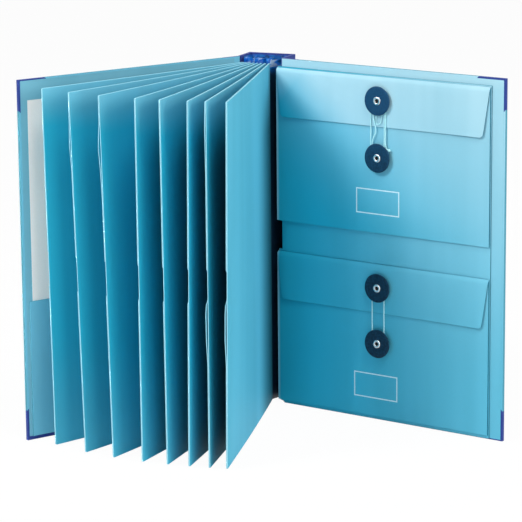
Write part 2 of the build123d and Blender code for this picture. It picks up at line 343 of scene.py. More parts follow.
class Surface(Graph):
    """The graph of one material that ends in a Principled shader."""

    def __init__(self, name: str, **constants: Any) -> None:
        """Starts a material.

        Args:
            name: The material's name.
            constants: Values for the shader's own sockets, with _ for a space.
        """
        self.material = bpy.data.materials.new(name)
        self.material.use_nodes = True
        super().__init__(self.material.node_tree)
        self.shader = self.tree.nodes["Principled BSDF"]
        for key, value in constants.items():
            self.shader.inputs[key.replace("_", " ")].default_value = value

    def finish(
        self, colour: Any, roughness: Any, relief: Optional[Socket] = None, depth: float = 0.0
    ) -> Material:
        """Links what varies over the surface.

        Args:
            colour: Base colour.
            roughness: Roughness.
            relief: Height from 0 to 1, or None for a smooth surface.
            depth: Depth of that relief in metres.

        Returns:
            The finished material.
        """
        self.feed(self.shader.inputs["Base Color"], colour)
        self.feed(self.shader.inputs["Roughness"], roughness)
        if relief is not None:
            bump = self.node("ShaderNodeBump", None, {"Distance": depth, "Height": relief}, "Normal")
            self.feed(self.shader.inputs["Normal"], bump)
        return self.material


@dataclass(frozen=True)
class LabelFrame:
    """A plain printed rectangle on a card, measured along the cover and up, in millimetres."""

    low: Pair
    high: Pair
    line: float = 1.1
    colour: Colour = tint(216, 242, 249)

    def mask(self, across: Socket, height: Socket) -> Socket:
        """Draws the rectangle's outline.

        Args:
            across: Distance along the cover in metres.
            height: Height in metres.

        Returns:
            1 on the line and 0 elsewhere.
        """
        reach = []
        for value, low, high in zip((across, height), self.low, self.high):
            reach.append(abs(value - (low + high) / 2 * MM) - (high - low) / 2 * MM)
        return abs(reach[0].larger(reach[1])).below(self.line / 2 * MM)


@dataclass(frozen=True)
class CardFinish:
    """Smooth coloured card with pale cut edges, and a printed frame where one is given.

    It is also painted with light and shade: a pale tint where the lamps light it more, a pale highlight
    along a fold, painted shade towards a leaf's hinge, and edge colours that on leaves are paler cut card
    brightened as painted highlight and on envelopes and covers are painted shade.

    Pairs of places are in millimetres along the card from its start, or up.
    """

    name: str
    colour: Colour
    edge: Colour
    facing: Optional[Triple] = None
    label: Optional[LabelFrame] = None
    run: Triple = (1.0, 0.0, 0.0)
    start: float = 0.0
    bloom: float = 0.0
    bloom_ends: Optional[Pair] = None
    bloom_lean: float = 0.0
    head_bloom: float = 0.0
    foot_bloom: float = 0.0
    root_shade: Optional[Pair] = None
    root_depth: float = 0.85
    fold_line: Optional[Pair] = None

    CLOUD = Grain(11.0, 3.0)
    FIBRE = Grain(1500.0, 2.0, (1.0, 1.0, 0.3))
    SPECK = Grain(420.0, 4.0)
    BAND = Grain(24.0, 2.0, (1.0, 1.0, 0.06))
    BAND_ENDS = (0.3, 0.7)
    TONES = (0.88, 1.1)
    CLOUD_SHARE = 0.4
    BAND_SHARE = 0.6
    SPECK_SHARE = (-0.05, 0.45)
    PAINTED_LIGHT_TINT = tint(234, 252, 255)
    PAINTED_LIGHT_CLOUD = (0.82, 1.0)
    PAINTED_LIGHT_BAND = 0.2
    RISE = (30.0, 330.0)
    RISE_SHARE = (0.32, 1.0)
    HEAD = (275.0, 320.0)
    FOOT = (0.0, 110.0)
    FRONT = (0.0, 0.5)
    FRONT_SHARE = (0.3, 1.0)
    ROOT_HEAD = (250.0, 312.0)
    ROOT_HEAD_SHARE = (1.0, 0.15)
    ROOT_TONE = 0.2
    FOLD_HIGHLIGHT_SHARE = 0.3
    RIM = (0.35, 0.9)
    SIDEWAYS = (0.3, 0.7)
    EDGE_SHARE = (0.72, 1.0)
    INK_SHARE = (0.78, 1.08)
    ROUGH = (0.49, 0.59)
    FIBRE_ROUGH = 0.12
    RIM_ROUGH = 0.15
    FIBRE_RELIEF = 0.7
    SPECK_RELIEF = 0.3
    RELIEF_DEPTH = 0.00002

    def material(self) -> Material:
        """Builds the card's nodes.

        Returns:
            The material.
        """
        graph = Surface(self.name, Specular_IOR_Level=0.12)
        cloud, fibre, speck = (graph.noise(grain) for grain in (self.CLOUD, self.FIBRE, self.SPECK))
        band = graph.noise(self.BAND).ramp(self.BAND_ENDS)
        height = graph.along(UP)
        across = graph.along(self.run) - self.start
        deep, light = tones(self.colour, self.TONES)
        tone = graph.mix(self.CLOUD_SHARE * cloud + self.BAND_SHARE * band, deep, light)
        tone = graph.mix(speck.between(self.SPECK_SHARE), tone, light)
        # Painted light: a pale tint mixed in where the lamps light the card more, towards the fore edge,
        # the head and the foot.
        pale = cloud.between(self.PAINTED_LIGHT_CLOUD) + self.PAINTED_LIGHT_BAND * band
        if self.bloom_ends is not None:
            slant = graph.along(Vector(self.run) + UP * self.bloom_lean) - self.start
            rise = height.ramp(self.RISE, MM).between(self.RISE_SHARE)
            pale = pale * slant.ramp(self.bloom_ends, MM) * rise
        pale = (pale * self.bloom).larger(self.head_bloom * height.ramp(self.HEAD, MM))
        pale = pale + self.foot_bloom * (1.0 - height.ramp(self.FOOT, MM))
        rim = graph.painted("rim").ramp(self.RIM)
        # Painted light falls only on the inner face; faces turned sideways take the edge colour.
        if self.facing is not None:
            towards = graph.along(self.facing, graph.node("ShaderNodeTexCoord", output="Normal"))
            pale = pale * towards.ramp(self.FRONT).between(self.FRONT_SHARE)
            rim = rim.larger(1.0 - abs(towards).ramp(self.SIDEWAYS))
        tone = graph.mix(pale, tone, self.PAINTED_LIGHT_TINT)
        if self.root_shade is not None:
            root = 1.0 - across.ramp(self.root_shade, MM)
            root = root * height.ramp(self.ROOT_HEAD, MM).between(self.ROOT_HEAD_SHARE)
            tone = graph.mix(root * self.root_depth, tone, shade(self.colour, self.ROOT_TONE))
        # Painted highlight: a pale line along the fold at the hinge side, where the fold catches light.
        if self.fold_line is not None:
            fold_highlight = 1.0 - across.ramp(self.fold_line, MM)
            tone = graph.mix(fold_highlight * self.FOLD_HIGHLIGHT_SHARE, tone, self.PAINTED_LIGHT_TINT)
        # Edge colour on rims and sideways faces: on leaves, paler cut card brightened as painted highlight;
        # on envelopes, cover papers and the left pocket, a darker tone painted as shade.
        tone = graph.mix(rim * speck.between(self.EDGE_SHARE), tone, self.edge)
        if self.label is not None:
            ink = self.label.mask(across, height) * speck.between(self.INK_SHARE)
            tone = graph.mix(ink, tone, self.label.colour)
        rough = cloud.between(self.ROUGH) + self.FIBRE_ROUGH * fibre + self.RIM_ROUGH * rim
        relief = self.FIBRE_RELIEF * fibre + self.SPECK_RELIEF * speck
        return graph.finish(tone, rough, relief, self.RELIEF_DEPTH)


@dataclass(frozen=True)
class ClothFinish:
    """Book cloth: a fine plain weave with uneven threads, their spacing in millimetres."""

    name: str
    colour: Colour
    run: Triple
    thread: float = 0.55

    SLUB = Grain(160.0, 3.0, (1.0, 1.0, 0.12))
    SLUB_SHIFT = 1.5
    WEAVE = (0.5, 0.75)
    TONES = (0.62, 1.18)
    WORN = Grain(38.0, 4.0)
    WORN_ENDS = (0.58, 0.8)
    WORN_SHARE = 0.3
    WORN_TONE = 1.6
    ROUGH = (0.62, 0.82)
    WORN_ROUGH = 0.1
    RELIEF_DEPTH = 0.00006

    def material(self) -> Material:
        """Builds the cloth's nodes.

        Returns:
            The material.
        """
        graph = Surface(self.name, Specular_IOR_Level=0.2, Sheen_Weight=0.08, Sheen_Roughness=0.4)
        rate = TURN / (self.thread * MM)
        weft = (graph.along(UP) * rate + graph.noise(self.SLUB) * self.SLUB_SHIFT).sine()
        warp = (graph.along(self.run) * rate).sine()
        weave = (weft + warp + weft * warp).between(self.WEAVE)
        tone = graph.mix(weave, *tones(self.colour, self.TONES))
        worn = graph.noise(self.WORN).ramp(self.WORN_ENDS)
        tone = graph.mix(worn * self.WORN_SHARE, tone, shade(self.colour, self.WORN_TONE))
        rough = weave.between(self.ROUGH) - self.WORN_ROUGH * worn
        return graph.finish(tone, rough, weave, self.RELIEF_DEPTH)


@dataclass(frozen=True)
class SatinFinish:
    """Folded paper with a satin face: painted light at its head, in millimetres up, painted shade below it,
    and noise that paints satin highlights and dark folds.
    """

    name: str
    colour: Colour
    crease: Colour
    deep: Colour
    head: Pair = (303.0, 316.0)

    CLOUD = Grain(24.0, 3.0)
    RIBS = Grain(900.0, 2.0, (1.0, 1.0, 0.05))
    GLEAM = Grain(150.0, 1.0, (1.0, 0.5, 1.6))
    TONES = (0.3, 1.1)
    TONE_ENDS = (0.32, 0.52)
    HIGHLIGHT_ENDS = (0.55, 0.7)
    HIGHLIGHT_SHARE = 0.75
    HEAD_SHARE = (0.8, 1.0)
    ROUGH = (0.3, 0.45)
    RELIEF_DEPTH = 0.00003

    def material(self) -> Material:
        """Builds the paper's nodes.

        Returns:
            The material.
        """
        graph = Surface(self.name, Specular_IOR_Level=0.6, Coat_Weight=0.25, Coat_Roughness=0.25)
        cloud, ribs, gleam = (graph.noise(grain) for grain in (self.CLOUD, self.RIBS, self.GLEAM))
        # Painted light and shade on the satin: gleam noise mixes dark folds and light tones, then a painted
        # highlight in the crease colour.
        tone = graph.mix(gleam.ramp(self.TONE_ENDS), *tones(self.colour, self.TONES))
        tone = graph.mix(gleam.ramp(self.HIGHLIGHT_ENDS) * self.HIGHLIGHT_SHARE, tone, self.crease)
        # Painted shade below the head: the deep colour stands in for shade down in the pleats.
        head = graph.along(UP).ramp(self.head, MM)
        tone = graph.mix(head * cloud.between(self.HEAD_SHARE), self.deep, tone)
        return graph.finish(tone, cloud.between(self.ROUGH), ribs, self.RELIEF_DEPTH)


@dataclass(frozen=True)
class PaperFinish:
    """Plain writing paper or grey board, by its colour and its coarseness."""

    name: str
    colour: Colour
    coarseness: float

    PULP_SCALE = 700.0
    PULP_DETAIL = 4.0
    PULP_SHARE = 0.6
    CLOUD = Grain(16.0, 2.0)
    CLOUD_SHARE = 0.4
    TONES = (0.93, 1.06)
    ROUGH = (0.72, 0.84)
    RELIEF_DEPTH = 0.00002

    def material(self) -> Material:
        """Builds the paper's nodes.

        Returns:
            The material.
        """
        graph = Surface(self.name, Specular_IOR_Level=0.25)
        pulp = graph.noise(Grain(self.PULP_SCALE / self.coarseness, self.PULP_DETAIL))
        mottle = pulp * self.PULP_SHARE + graph.noise(self.CLOUD) * self.CLOUD_SHARE
        tone = graph.mix(mottle, *tones(self.colour, self.TONES))
        return graph.finish(tone, pulp.between(self.ROUGH), pulp, self.RELIEF_DEPTH * self.coarseness)


@dataclass(frozen=True)
class DiscFinish:
    """Pressed navy fibre card, with painted light that pales it higher up, and a lightly worn rim."""

    name: str
    colour: Colour
    pale: Colour
    worn: Colour

    PAINTED_LIGHT_HEIGHTS = (200.0, 310.0)
    FLECK = Grain(620.0, 2.0)
    FLECK_ENDS = (0.3, 0.7)
    FLECK_SHARE = 0.3
    SCUFF = Grain(260.0, 3.0)
    SCUFF_ENDS = (0.4, 0.7)
    SCUFF_SHARE = 0.7
    CLOUD = Grain(60.0, 2.0)
    ROUGH = (0.42, 0.58)
    RELIEF_DEPTH = 0.00003

    def material(self) -> Material:
        """Builds the disc's nodes.

        Returns:
            The material.
        """
        graph = Surface(self.name, Specular_IOR_Level=0.2)
        fleck = graph.noise(self.FLECK)
        # Painted light: the disc pales towards its second colour higher up, where the lamps light it more.
        base = graph.mix(graph.along(UP).ramp(self.PAINTED_LIGHT_HEIGHTS, MM), self.colour, self.pale)
        flecked = graph.mix(self.FLECK_SHARE, base, self.worn)
        tone = graph.mix(fleck.ramp(self.FLECK_ENDS), base, flecked)
        scuff = graph.painted("rim") * graph.noise(self.SCUFF).ramp(self.SCUFF_ENDS)
        tone = graph.mix(scuff * self.SCUFF_SHARE, tone, self.worn)
        rough = graph.noise(self.CLOUD).between(self.ROUGH)
        return graph.finish(tone, rough, fleck, self.RELIEF_DEPTH)


@dataclass(frozen=True)
class MetalFinish:
    """Bright rolled metal with fine rubbing marks, and painted shade darkening its bore."""

    name: str
    colour: Colour
    bore: Colour

    RUB = Grain(2600.0, 2.0, (1.0, 1.0, 0.2))
    DULL = Grain(300.0, 3.0)
    TONES = (0.82, 1.05)
    BORE_SHARE = (0.94, 1.0)
    ROUGH = (0.18, 0.38)
    BORE_ROUGH = 0.5
    RELIEF_DEPTH = 0.00001

    def material(self) -> Material:
        """Builds the metal's nodes.

        Returns:
            The material.
        """
        graph = Surface(self.name, Metallic=1.0)
        dull = graph.noise(self.DULL)
        bore = graph.painted("rim")
        tone = graph.mix(dull, *tones(self.colour, self.TONES))
        # Painted shade: the bore and the floor that closes it are mixed towards near black.
        tone = graph.mix(bore * dull.between(self.BORE_SHARE), tone, self.bore)
        rough = dull.between(self.ROUGH) + self.BORE_ROUGH * bore
        return graph.finish(tone, rough, graph.noise(self.RUB), self.RELIEF_DEPTH)


@dataclass(frozen=True)
class StringFinish:
    """Pale spun thread, with painted shade where each ply faces the other."""

    name: str
    colour: Colour
    furrow: Colour

    FUZZ = Grain(5200.0, 2.0)
    FUZZ_SHARE = 0.25
    FUZZ_TONE = 1.1
    PLY_SHADE_SHARE = 0.8
    ROUGH = (0.7, 0.9)
    RELIEF_DEPTH = 0.00003

    def material(self) -> Material:
        """Builds the thread's nodes.

        Returns:
            The material.
        """
        graph = Surface(self.name, Specular_IOR_Level=0.3, Sheen_Weight=0.3)
        fuzz = graph.noise(self.FUZZ)
        # Painted shade on each ply where it faces the other ply.
        tone = graph.mix(graph.painted("furrow") * self.PLY_SHADE_SHARE, self.colour, self.furrow)
        tone = graph.mix(fuzz * self.FUZZ_SHARE, tone, shade(self.colour, self.FUZZ_TONE))
        return graph.finish(tone, fuzz.between(self.ROUGH), fuzz, self.RELIEF_DEPTH)


class Side(Enum):
    """Which way a cover opens, as the sign of its run along X."""

    LEFT = -1
    RIGHT = 1


class Sheet(Enum):
    """A leaf's two sheets, by where each one starts, in thicknesses from the leaf's middle."""

    FRONT = 0
    BACK = -1


class Half(Enum):
    """The half of an envelope that a button sits on."""

    FLAP = "flap"
    BODY = "body"


class Slot(Enum):
    """Names for material slots, which no piece here is given."""

    CARD = "blue_card"
    CLOTH = "violet_cloth"
    GUSSET = "gusset_paper"
    BUTTON = "button_card"
    EYELET = "eyelet_metal"
    STRING = "string"


def joint_named(name: str) -> Dict[str, Any]:
    """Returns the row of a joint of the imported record."""
    return next(joint for joint in frame["joints"] if joint["name"] == name)


def pivot(name: str) -> Vector:
    """Returns where a joint stands, in metres."""
    return Vector(joint_named(name)["pos_m"])


def dress(material: Material, *nodes: str) -> List[Piece]:
    """Gives CAD nodes a finish.

    Args:
        material: The finish.
        nodes: The nodes' names.

    Returns:
        The dressed nodes.
    """
    dressed = [frame["nodes"][name] for name in nodes]
    for node in dressed:
        node.data.materials.clear()
        node.data.materials.append(material)
    return dressed


def settle(made: Piece, node: str, body: str) -> Piece:
    """Puts a made piece in the place of a CAD node.

    Args:
        made: The piece.
        node: The node that it stands for.
        body: The body that carries it.

    Returns:
        The piece.
    """
    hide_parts(node)
    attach(made, body)
    return made


@dataclass(frozen=True)
class CoverPlane:
    """Measures a cover in millimetres: along from its hinge, up, and in from its outer face."""

    hinge: Vector
    run: Vector
    inward: Vector

    @classmethod
    def of(cls, side: Side) -> "CoverPlane":
        """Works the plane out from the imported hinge, which is shut at its lower limit.

        Args:
            side: The cover.

        Returns:
            The cover's plane at rest.
        """
        name = f"{side.name.lower()}_cover_hinge"
        open_by = math.radians(-joint_named(name)["range_deg"][0])
        run = Vector((side.value * math.sin(open_by), -math.cos(open_by), 0.0))
        inward = Vector((-side.value * math.cos(open_by), -math.sin(open_by), 0.0))
        return cls(pivot(name), run, inward)

    def point(self, along: float, up: float, depth: float) -> Vector:
        """Returns a point of the cover in metres.

        Args:
            along: Distance from the hinge.
            up: Height.
            depth: Distance in from the outer face.

        Returns:
            The point in the part's frame.
        """
        return self.hinge + (self.run * along + self.inward * depth + UP * up) * MM

    def start(self) -> float:
        """Returns what the hinge itself measures along the cover, in metres."""
        return self.hinge.dot(self.run)


class MeshMaker:
    """Collects points, faces and painted numbers, and makes one mesh object of them."""

    EASE = 0.2

    def __init__(self) -> None:
        """Starts empty."""
        self.points: List[Vector] = []
        self.faces: List[Tuple[int, ...]] = []
        self.paint: List[float] = []

    def add(self, point: Vector, paint: float = 0.0) -> int:
        """Adds a point.

        Args:
            point: Where it is, in metres.
            paint: The number painted on it.

        Returns:
            Its index.
        """
        self.points.append(point)
        self.paint.append(paint)
        return len(self.points) - 1

    def sheet(self, columns: Sequence[float], rows: Sequence[float], place: Placer) -> None:
        """Adds a thin closed sheet with eased edges, its rim painted.

        Args:
            columns: Places of the lines across, from 0 to 1.
            rows: Places of the lines up, from 0 to 1.
            place: Gives a point from column, row and share of the thickness.
        """
        across, up = len(columns), len(rows)
        first = len(self.points)
        for face in (0, 1):
            for row, height in enumerate(rows):
                for column, width in enumerate(columns):
                    rim = row in (0, up - 1) or column in (0, across - 1)
                    depth = part_way((self.EASE, 1 - self.EASE), face) if rim else face
                    self.add(place(width, height, depth), float(rim))

        def at(face: int, row: int, column: int) -> int:
            """Returns the index of a point of the sheet."""
            return first + (face * up + row) * across + column

        for row in range(up - 1):
            for column in range(across - 1):
                ring = [(row, column), (row, column + 1), (row + 1, column + 1), (row + 1, column)]
                self.faces.append(tuple(at(1, *corner) for corner in ring))
                self.faces.append(tuple(at(0, *corner) for corner in reversed(ring)))
        border = [(0, column) for column in range(across - 1)]
        border += [(row, across - 1) for row in range(up - 1)]
        border += [(up - 1, column) for column in range(across - 1, 0, -1)]
        border += [(row, 0) for row in range(up - 1, 0, -1)]
        for here, there in zip(border, border[1:] + border[:1]):
            self.faces.append((at(0, *here), at(0, *there), at(1, *there), at(1, *here)))

    def spin(self, profile: Sequence[Triple], centre: Vector, axis: Vector, sides: int) -> None:
        """Adds a closed ring turned from a profile.

        Args:
            profile: Radius, distance along the axis and paint, in millimetres, all the way round.
            centre: The point that the axis goes through.
            axis: The axis.
            sides: Number of steps round.
        """
        first = len(self.points)
        arm = axis.orthogonal().normalized()
        count = len(profile)
        for step in range(sides):
            turned = Matrix.Rotation(TURN * step / sides, 3, axis) @ arm
            for radius, along, paint in profile:
                self.add(centre + (turned * radius + axis * along) * MM, paint)
        for step in range(sides):
            here = first + step * count
            there = first + (step + 1) % sides * count
            for index in range(count):
                other = (index + 1) % count
                self.faces.append((here + index, there + index, there + other, here + other))

    def tube(self, rings: Sequence[Ring]) -> None:
        """Adds a closed tube through rings of painted points.

        Args:
            rings: The rings in order, each with the same number of points.
        """
        first = len(self.points)
        sides = len(rings[0])
        for ring in rings:
            for point, paint in ring:
                self.add(point, paint)
        last = first + (len(rings) - 1) * sides
        for low in range(first, last, sides):
            high = low + sides
            for side in range(sides):
                other = (side + 1) % sides
                self.faces.append((low + side, low + other, high + other, high + side))
        self.faces.append(tuple(first + side for side in reversed(range(sides))))
        self.faces.append(tuple(last + side for side in range(sides)))

    def make(self, name: str, material: Material, paint: str = "rim", sharp: float = 40.0) -> Piece:
        """Makes the object.

        Args:
            name: The object's name.
            material: Its finish.
            paint: The name of the painted numbers.
            sharp: Angle in degrees above which an edge is sharp.

        Returns:
            The object, linked into the scene.
        """
        mesh = bpy.data.meshes.new(name)
        mesh.from_pydata([tuple(point) for point in self.points], [], self.faces)
        values = mesh.attributes.new(paint, "FLOAT", "POINT")
        values.data.foreach_set("value", self.paint)
        mesh.polygons.foreach_set("use_smooth", [True] * len(mesh.polygons))
        mesh.set_sharp_from_angle(angle=math.radians(sharp))
        mesh.materials.append(material)
        made = bpy.data.objects.new(name, mesh)
        bpy.context.scene.collection.objects.link(made)
        return made


class Palette:
    """Every finish of the file, made once."""

    CARD = tint(31, 171, 202)
    # Leaf edge colour: paler cut card, brightened further as painted highlight where the edges catch light.
    CUT_AND_HIGHLIGHT = tint(172, 230, 244)
    SHADED = tint(20, 98, 120)
    # Darker edge tone for the cover papers and the left pocket: painted shade.
    EDGE_SHADE = tint(84, 150, 170)
    VIOLET = tint(50, 70, 150)
    EDGE_TONE = 1.08
    # Where the painted fold highlight fades, in millimetres along the cover.
    FOLD_HIGHLIGHT = (-5.0, -1.8)
    FACE_ENDS = (-90.0, 170.0)
    FRONT_ENDS = (-10.0, 215.0)
    FLAP_ENDS = (271.0, 356.0)
    LEAF_PAINTED_LIGHT = {"bloom": 0.01, "head_bloom": 0.18, "foot_bloom": 0.06}

    def __init__(self, right: CoverPlane, left: CoverPlane) -> None:
        """Makes the materials.

        Args:
            right: The right cover's plane.
            left: The left cover's plane.
        """
        # The cards below carry painted light, a pale tint mixed in towards the fore edge, head or foot
        # where the lamps light them more; the ends and leans set where it falls.
        self.leaf = CardFinish("leaf_card", self.CARD, self.CUT_AND_HIGHLIGHT, **self.LEAF_PAINTED_LIGHT).material()
        tied = {"edge": self.SHADED, "fold_line": self.FOLD_HIGHLIGHT}
        steep = {"bloom_ends": self.FLAP_ENDS, "bloom_lean": 1.0, "head_bloom": 0.5}
        self.flap = self.card("flap_card", right, bloom=0.48, **steep, **tied)
        self.right_card = self.card("right_card", right, bloom=0.36, bloom_ends=self.FRONT_ENDS, **tied)
        face = {"bloom": 0.42, "bloom_ends": self.FACE_ENDS, "head_bloom": 0.5}
        self.right_lining = self.card("right_lining_card", right, **face)
        self.right_paper = self.card("right_cover_paper_finish", right, edge=self.EDGE_SHADE, **face)
        self.left_card = self.card("left_card", left, bloom=0.18, edge=self.EDGE_SHADE)
        # A darker copy of the card: painted shade on the left cover's lining, which lies in shade.
        self.left_lining = self.card("left_lining_card", left, bloom=0.2, colour=tint(29, 155, 182))
        self.left_paper = self.card("left_cover_paper_finish", left, bloom=0.2, edge=self.EDGE_SHADE)
        self.right_cloth = self.cloth("right_cloth", right.run + right.inward)
        self.left_cloth = self.cloth("left_cloth", left.run + left.inward)
        self.spine_cloth = self.cloth("spine_cloth_weave", Vector((1.0, 1.0, 0.0)))
        # Gusset satin: its colour, the painted highlight, and the painted shade below its head.
        bright = (tint(14, 134, 232), tint(214, 240, 252), tint(6, 36, 56))
        self.gusset = SatinFinish("gusset_satin", *bright).material()
        # Lining satin: darker tones than the gusset, painted shade for the lining deep in the spine.
        shaded_lining_tones = (tint(12, 96, 190), tint(40, 132, 204), tint(10, 58, 78))
        self.lining = SatinFinish("lining_satin", *shaded_lining_tones, head=(309.0, 319.0)).material()
        self.sheet = PaperFinish("sheet_paper", tint(251, 245, 239), 1.0).material()
        self.board = PaperFinish("grey_board", tint(150, 145, 136), 3.0).material()
        # Navy disc tones: its own colour, the pale tone of painted light higher up, and the colour of rim
        # wear.
        navy = (tint(5, 34, 54), tint(22, 66, 102), tint(28, 88, 122))
        self.disc = DiscFinish("navy_disc", *navy).material()
        # Eyelet metal, and the near black painted in its bore as shade.
        self.metal = MetalFinish("eyelet_metal_finish", tint(226, 228, 230), tint(22, 26, 30)).material()
        # String colour, and the painted shade between its plies.
        self.string = StringFinish("spun_string", tint(198, 249, 253), tint(130, 204, 220)).material()

    def cloth(self, name: str, run: Vector) -> Material:
        """Returns violet cloth whose weft runs along a direction."""
        return ClothFinish(name, self.VIOLET, tuple(run)).material()

    def card(self, name: str, plane: CoverPlane, **looks: Any) -> Material:
        """Makes card that lies on a cover.

        Args:
            name: The material's name.
            plane: The cover's plane.
            looks: Other fields of the finish; colour and edge are the plain card's unless given.

        Returns:
            The material.
        """
        looks = {"colour": self.CARD, "edge": shade(self.CARD, self.EDGE_TONE), **looks}
        place = {"facing": tuple(plane.inward), "run": tuple(plane.run), "start": plane.start()}
        return CardFinish(name, **place, **looks).material()

    def leaf_card(self, name: str, root: Vector, run: Vector, **looks: Any) -> Material:
        """Makes the card of a leaf, with painted light and with painted shade that deepens towards its
        hinge.

        Args:
            name: The material's name.
            root: The leaf's hinge.
            run: Its direction.
            looks: Other fields of the finish.

        Returns:
            The material.
        """
        place = {"run": tuple(run), "start": root.dot(run)}
        return CardFinish(name, self.CARD, self.CUT_AND_HIGHLIGHT, **place, **looks).material()


class Path:
    """Points read from a NURBS line, with the distance along it."""

    RESOLUTION = 24
    ORDER = 3
    TINY = 1e-9

    def __init__(self, name: str, controls: Sequence[Vector]) -> None:
        """Makes the line and reads its points.

        Args:
            name: The line's name.
            controls: Its control points.
        """
        curve = bpy.data.curves.new(name, "CURVE")
        curve.dimensions = "3D"
        curve.resolution_u = self.RESOLUTION
        spline = curve.splines.new("NURBS")
        spline.points.add(len(controls) - 1)
        for target, point in zip(spline.points, controls):
            target.co = (*point, 1.0)
        spline.order_u = self.ORDER
        spline.use_endpoint_u = True
        holder = bpy.data.objects.new(name, curve)
        bpy.context.scene.collection.objects.link(holder)
        read = bpy.data.meshes.new_from_object(holder)
        self.points = [vertex.co.copy() for vertex in read.vertices]
        bpy.data.objects.remove(holder)
        bpy.data.curves.remove(curve)
        bpy.data.meshes.remove(read)
        self.marks = [0.0]
        for here, there in zip(self.points, self.points[1:]):
            self.marks.append(self.marks[-1] + (there - here).length)

    @property
    def length(self) -> float:
        """The line's length in metres."""
        return self.marks[-1]

    def walk(self, step: float) -> Walk:
        """Goes along the line in even steps.

        Args:
            step: The step in metres, about.

        Returns:
            Each place with the direction there.
        """
        count = max(2, round(self.length / step))
        places, index = [], 0
        for number in range(count + 1):
            mark = self.length * number / count
            while index < len(self.marks) - 2 and self.marks[index + 1] < mark:
                index += 1
            gap = self.marks[index + 1] - self.marks[index]
            share = (mark - self.marks[index]) / max(gap, self.TINY)
            places.append(self.points[index].lerp(self.points[index + 1], share))
        before, after = places[:1] + places, places[1:] + places[-1:]
        ways = [(there - here).normalized() for here, there in zip(before, after)]
        return list(zip(places, ways))


@dataclass(frozen=True)
class WoundString:
    """A two-ply string round the buttons of an envelope, in millimetres on the right cover."""

    name: str
    flap: str
    far_end: str
    route: Tuple[Pair, ...]
    bend: Optional[Pair] = None
    replaces: Tuple[str, ...] = ()
    knot: float = 1.0
    level: float = 7.15
    diameter: float = 1.2
    lay_length: float = 2.6
    ply_sides: int = 8

    PLY_SHARE = 0.32
    STEP = 0.3
    KNOT_BACK = 4
    KNOT_SPREAD = 4.0
    SHARP = 60.0

    def build(self, plane: CoverPlane, palette: Palette) -> List[Piece]:
        """Args:
            plane: The right cover's plane.
            palette: The finishes.

        Returns:
            The string.
        """
        controls = [plane.point(along, up, self.level) for along, up in self.route]
        path = Path(f"{self.name}_line", controls)
        walked = path.walk(self.STEP * MM)
        maker = MeshMaker()
        for start in (0.0, math.pi):
            maker.tube(self.ply(walked, plane, path.length, start))
        made = maker.make(f"{self.name}_twist", palette.string, "furrow", self.SHARP)
        if self.replaces:
            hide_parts(*self.replaces)
        if self.bend is None:
            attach(made, self.flap)
        else:
            low, high = (plane.point(self.route[0][0], up, self.level) for up in self.bend)
            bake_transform(made)
        return [made]

    def ply(self, walked: Walk, plane: CoverPlane, length: float, start: float) -> List[Ring]:
        """Winds one ply round the string's middle.

        Args:
            walked: Places and directions along the middle.
            plane: The right cover's plane.
            length: The string's length in metres.
            start: The angle at which the ply starts.

        Returns:
            The ply's rings, painted where they face the other ply, which is where painted shade goes.
        """
        radius = self.diameter * self.PLY_SHARE * MM
        orbit = self.diameter / 2 * MM - radius
        last = len(walked) - 1
        rings = []
        for number, (place, way) in enumerate(walked):
            turn = start + TURN * length / (self.lay_length * MM) * number / last
            side = way.cross(plane.inward).normalized()
            out = side.cross(way).normalized()
            from_knot = (last - self.KNOT_BACK - number) / self.KNOT_SPREAD
            swell = 1 + (self.knot - 1) * math.exp(-(from_knot ** 2))
            centre = place + (side * math.cos(turn) + out * math.sin(turn)) * orbit * swell
            ring = []
            for step in range(self.ply_sides):
                angle = TURN * step / self.ply_sides
                arm = side * math.cos(angle) + out * math.sin(angle)
                inside = 0.5 - 0.5 * math.cos(angle - turn)
                ring.append((centre + arm * radius * swell, inside))
            rings.append(ring)
        return rings


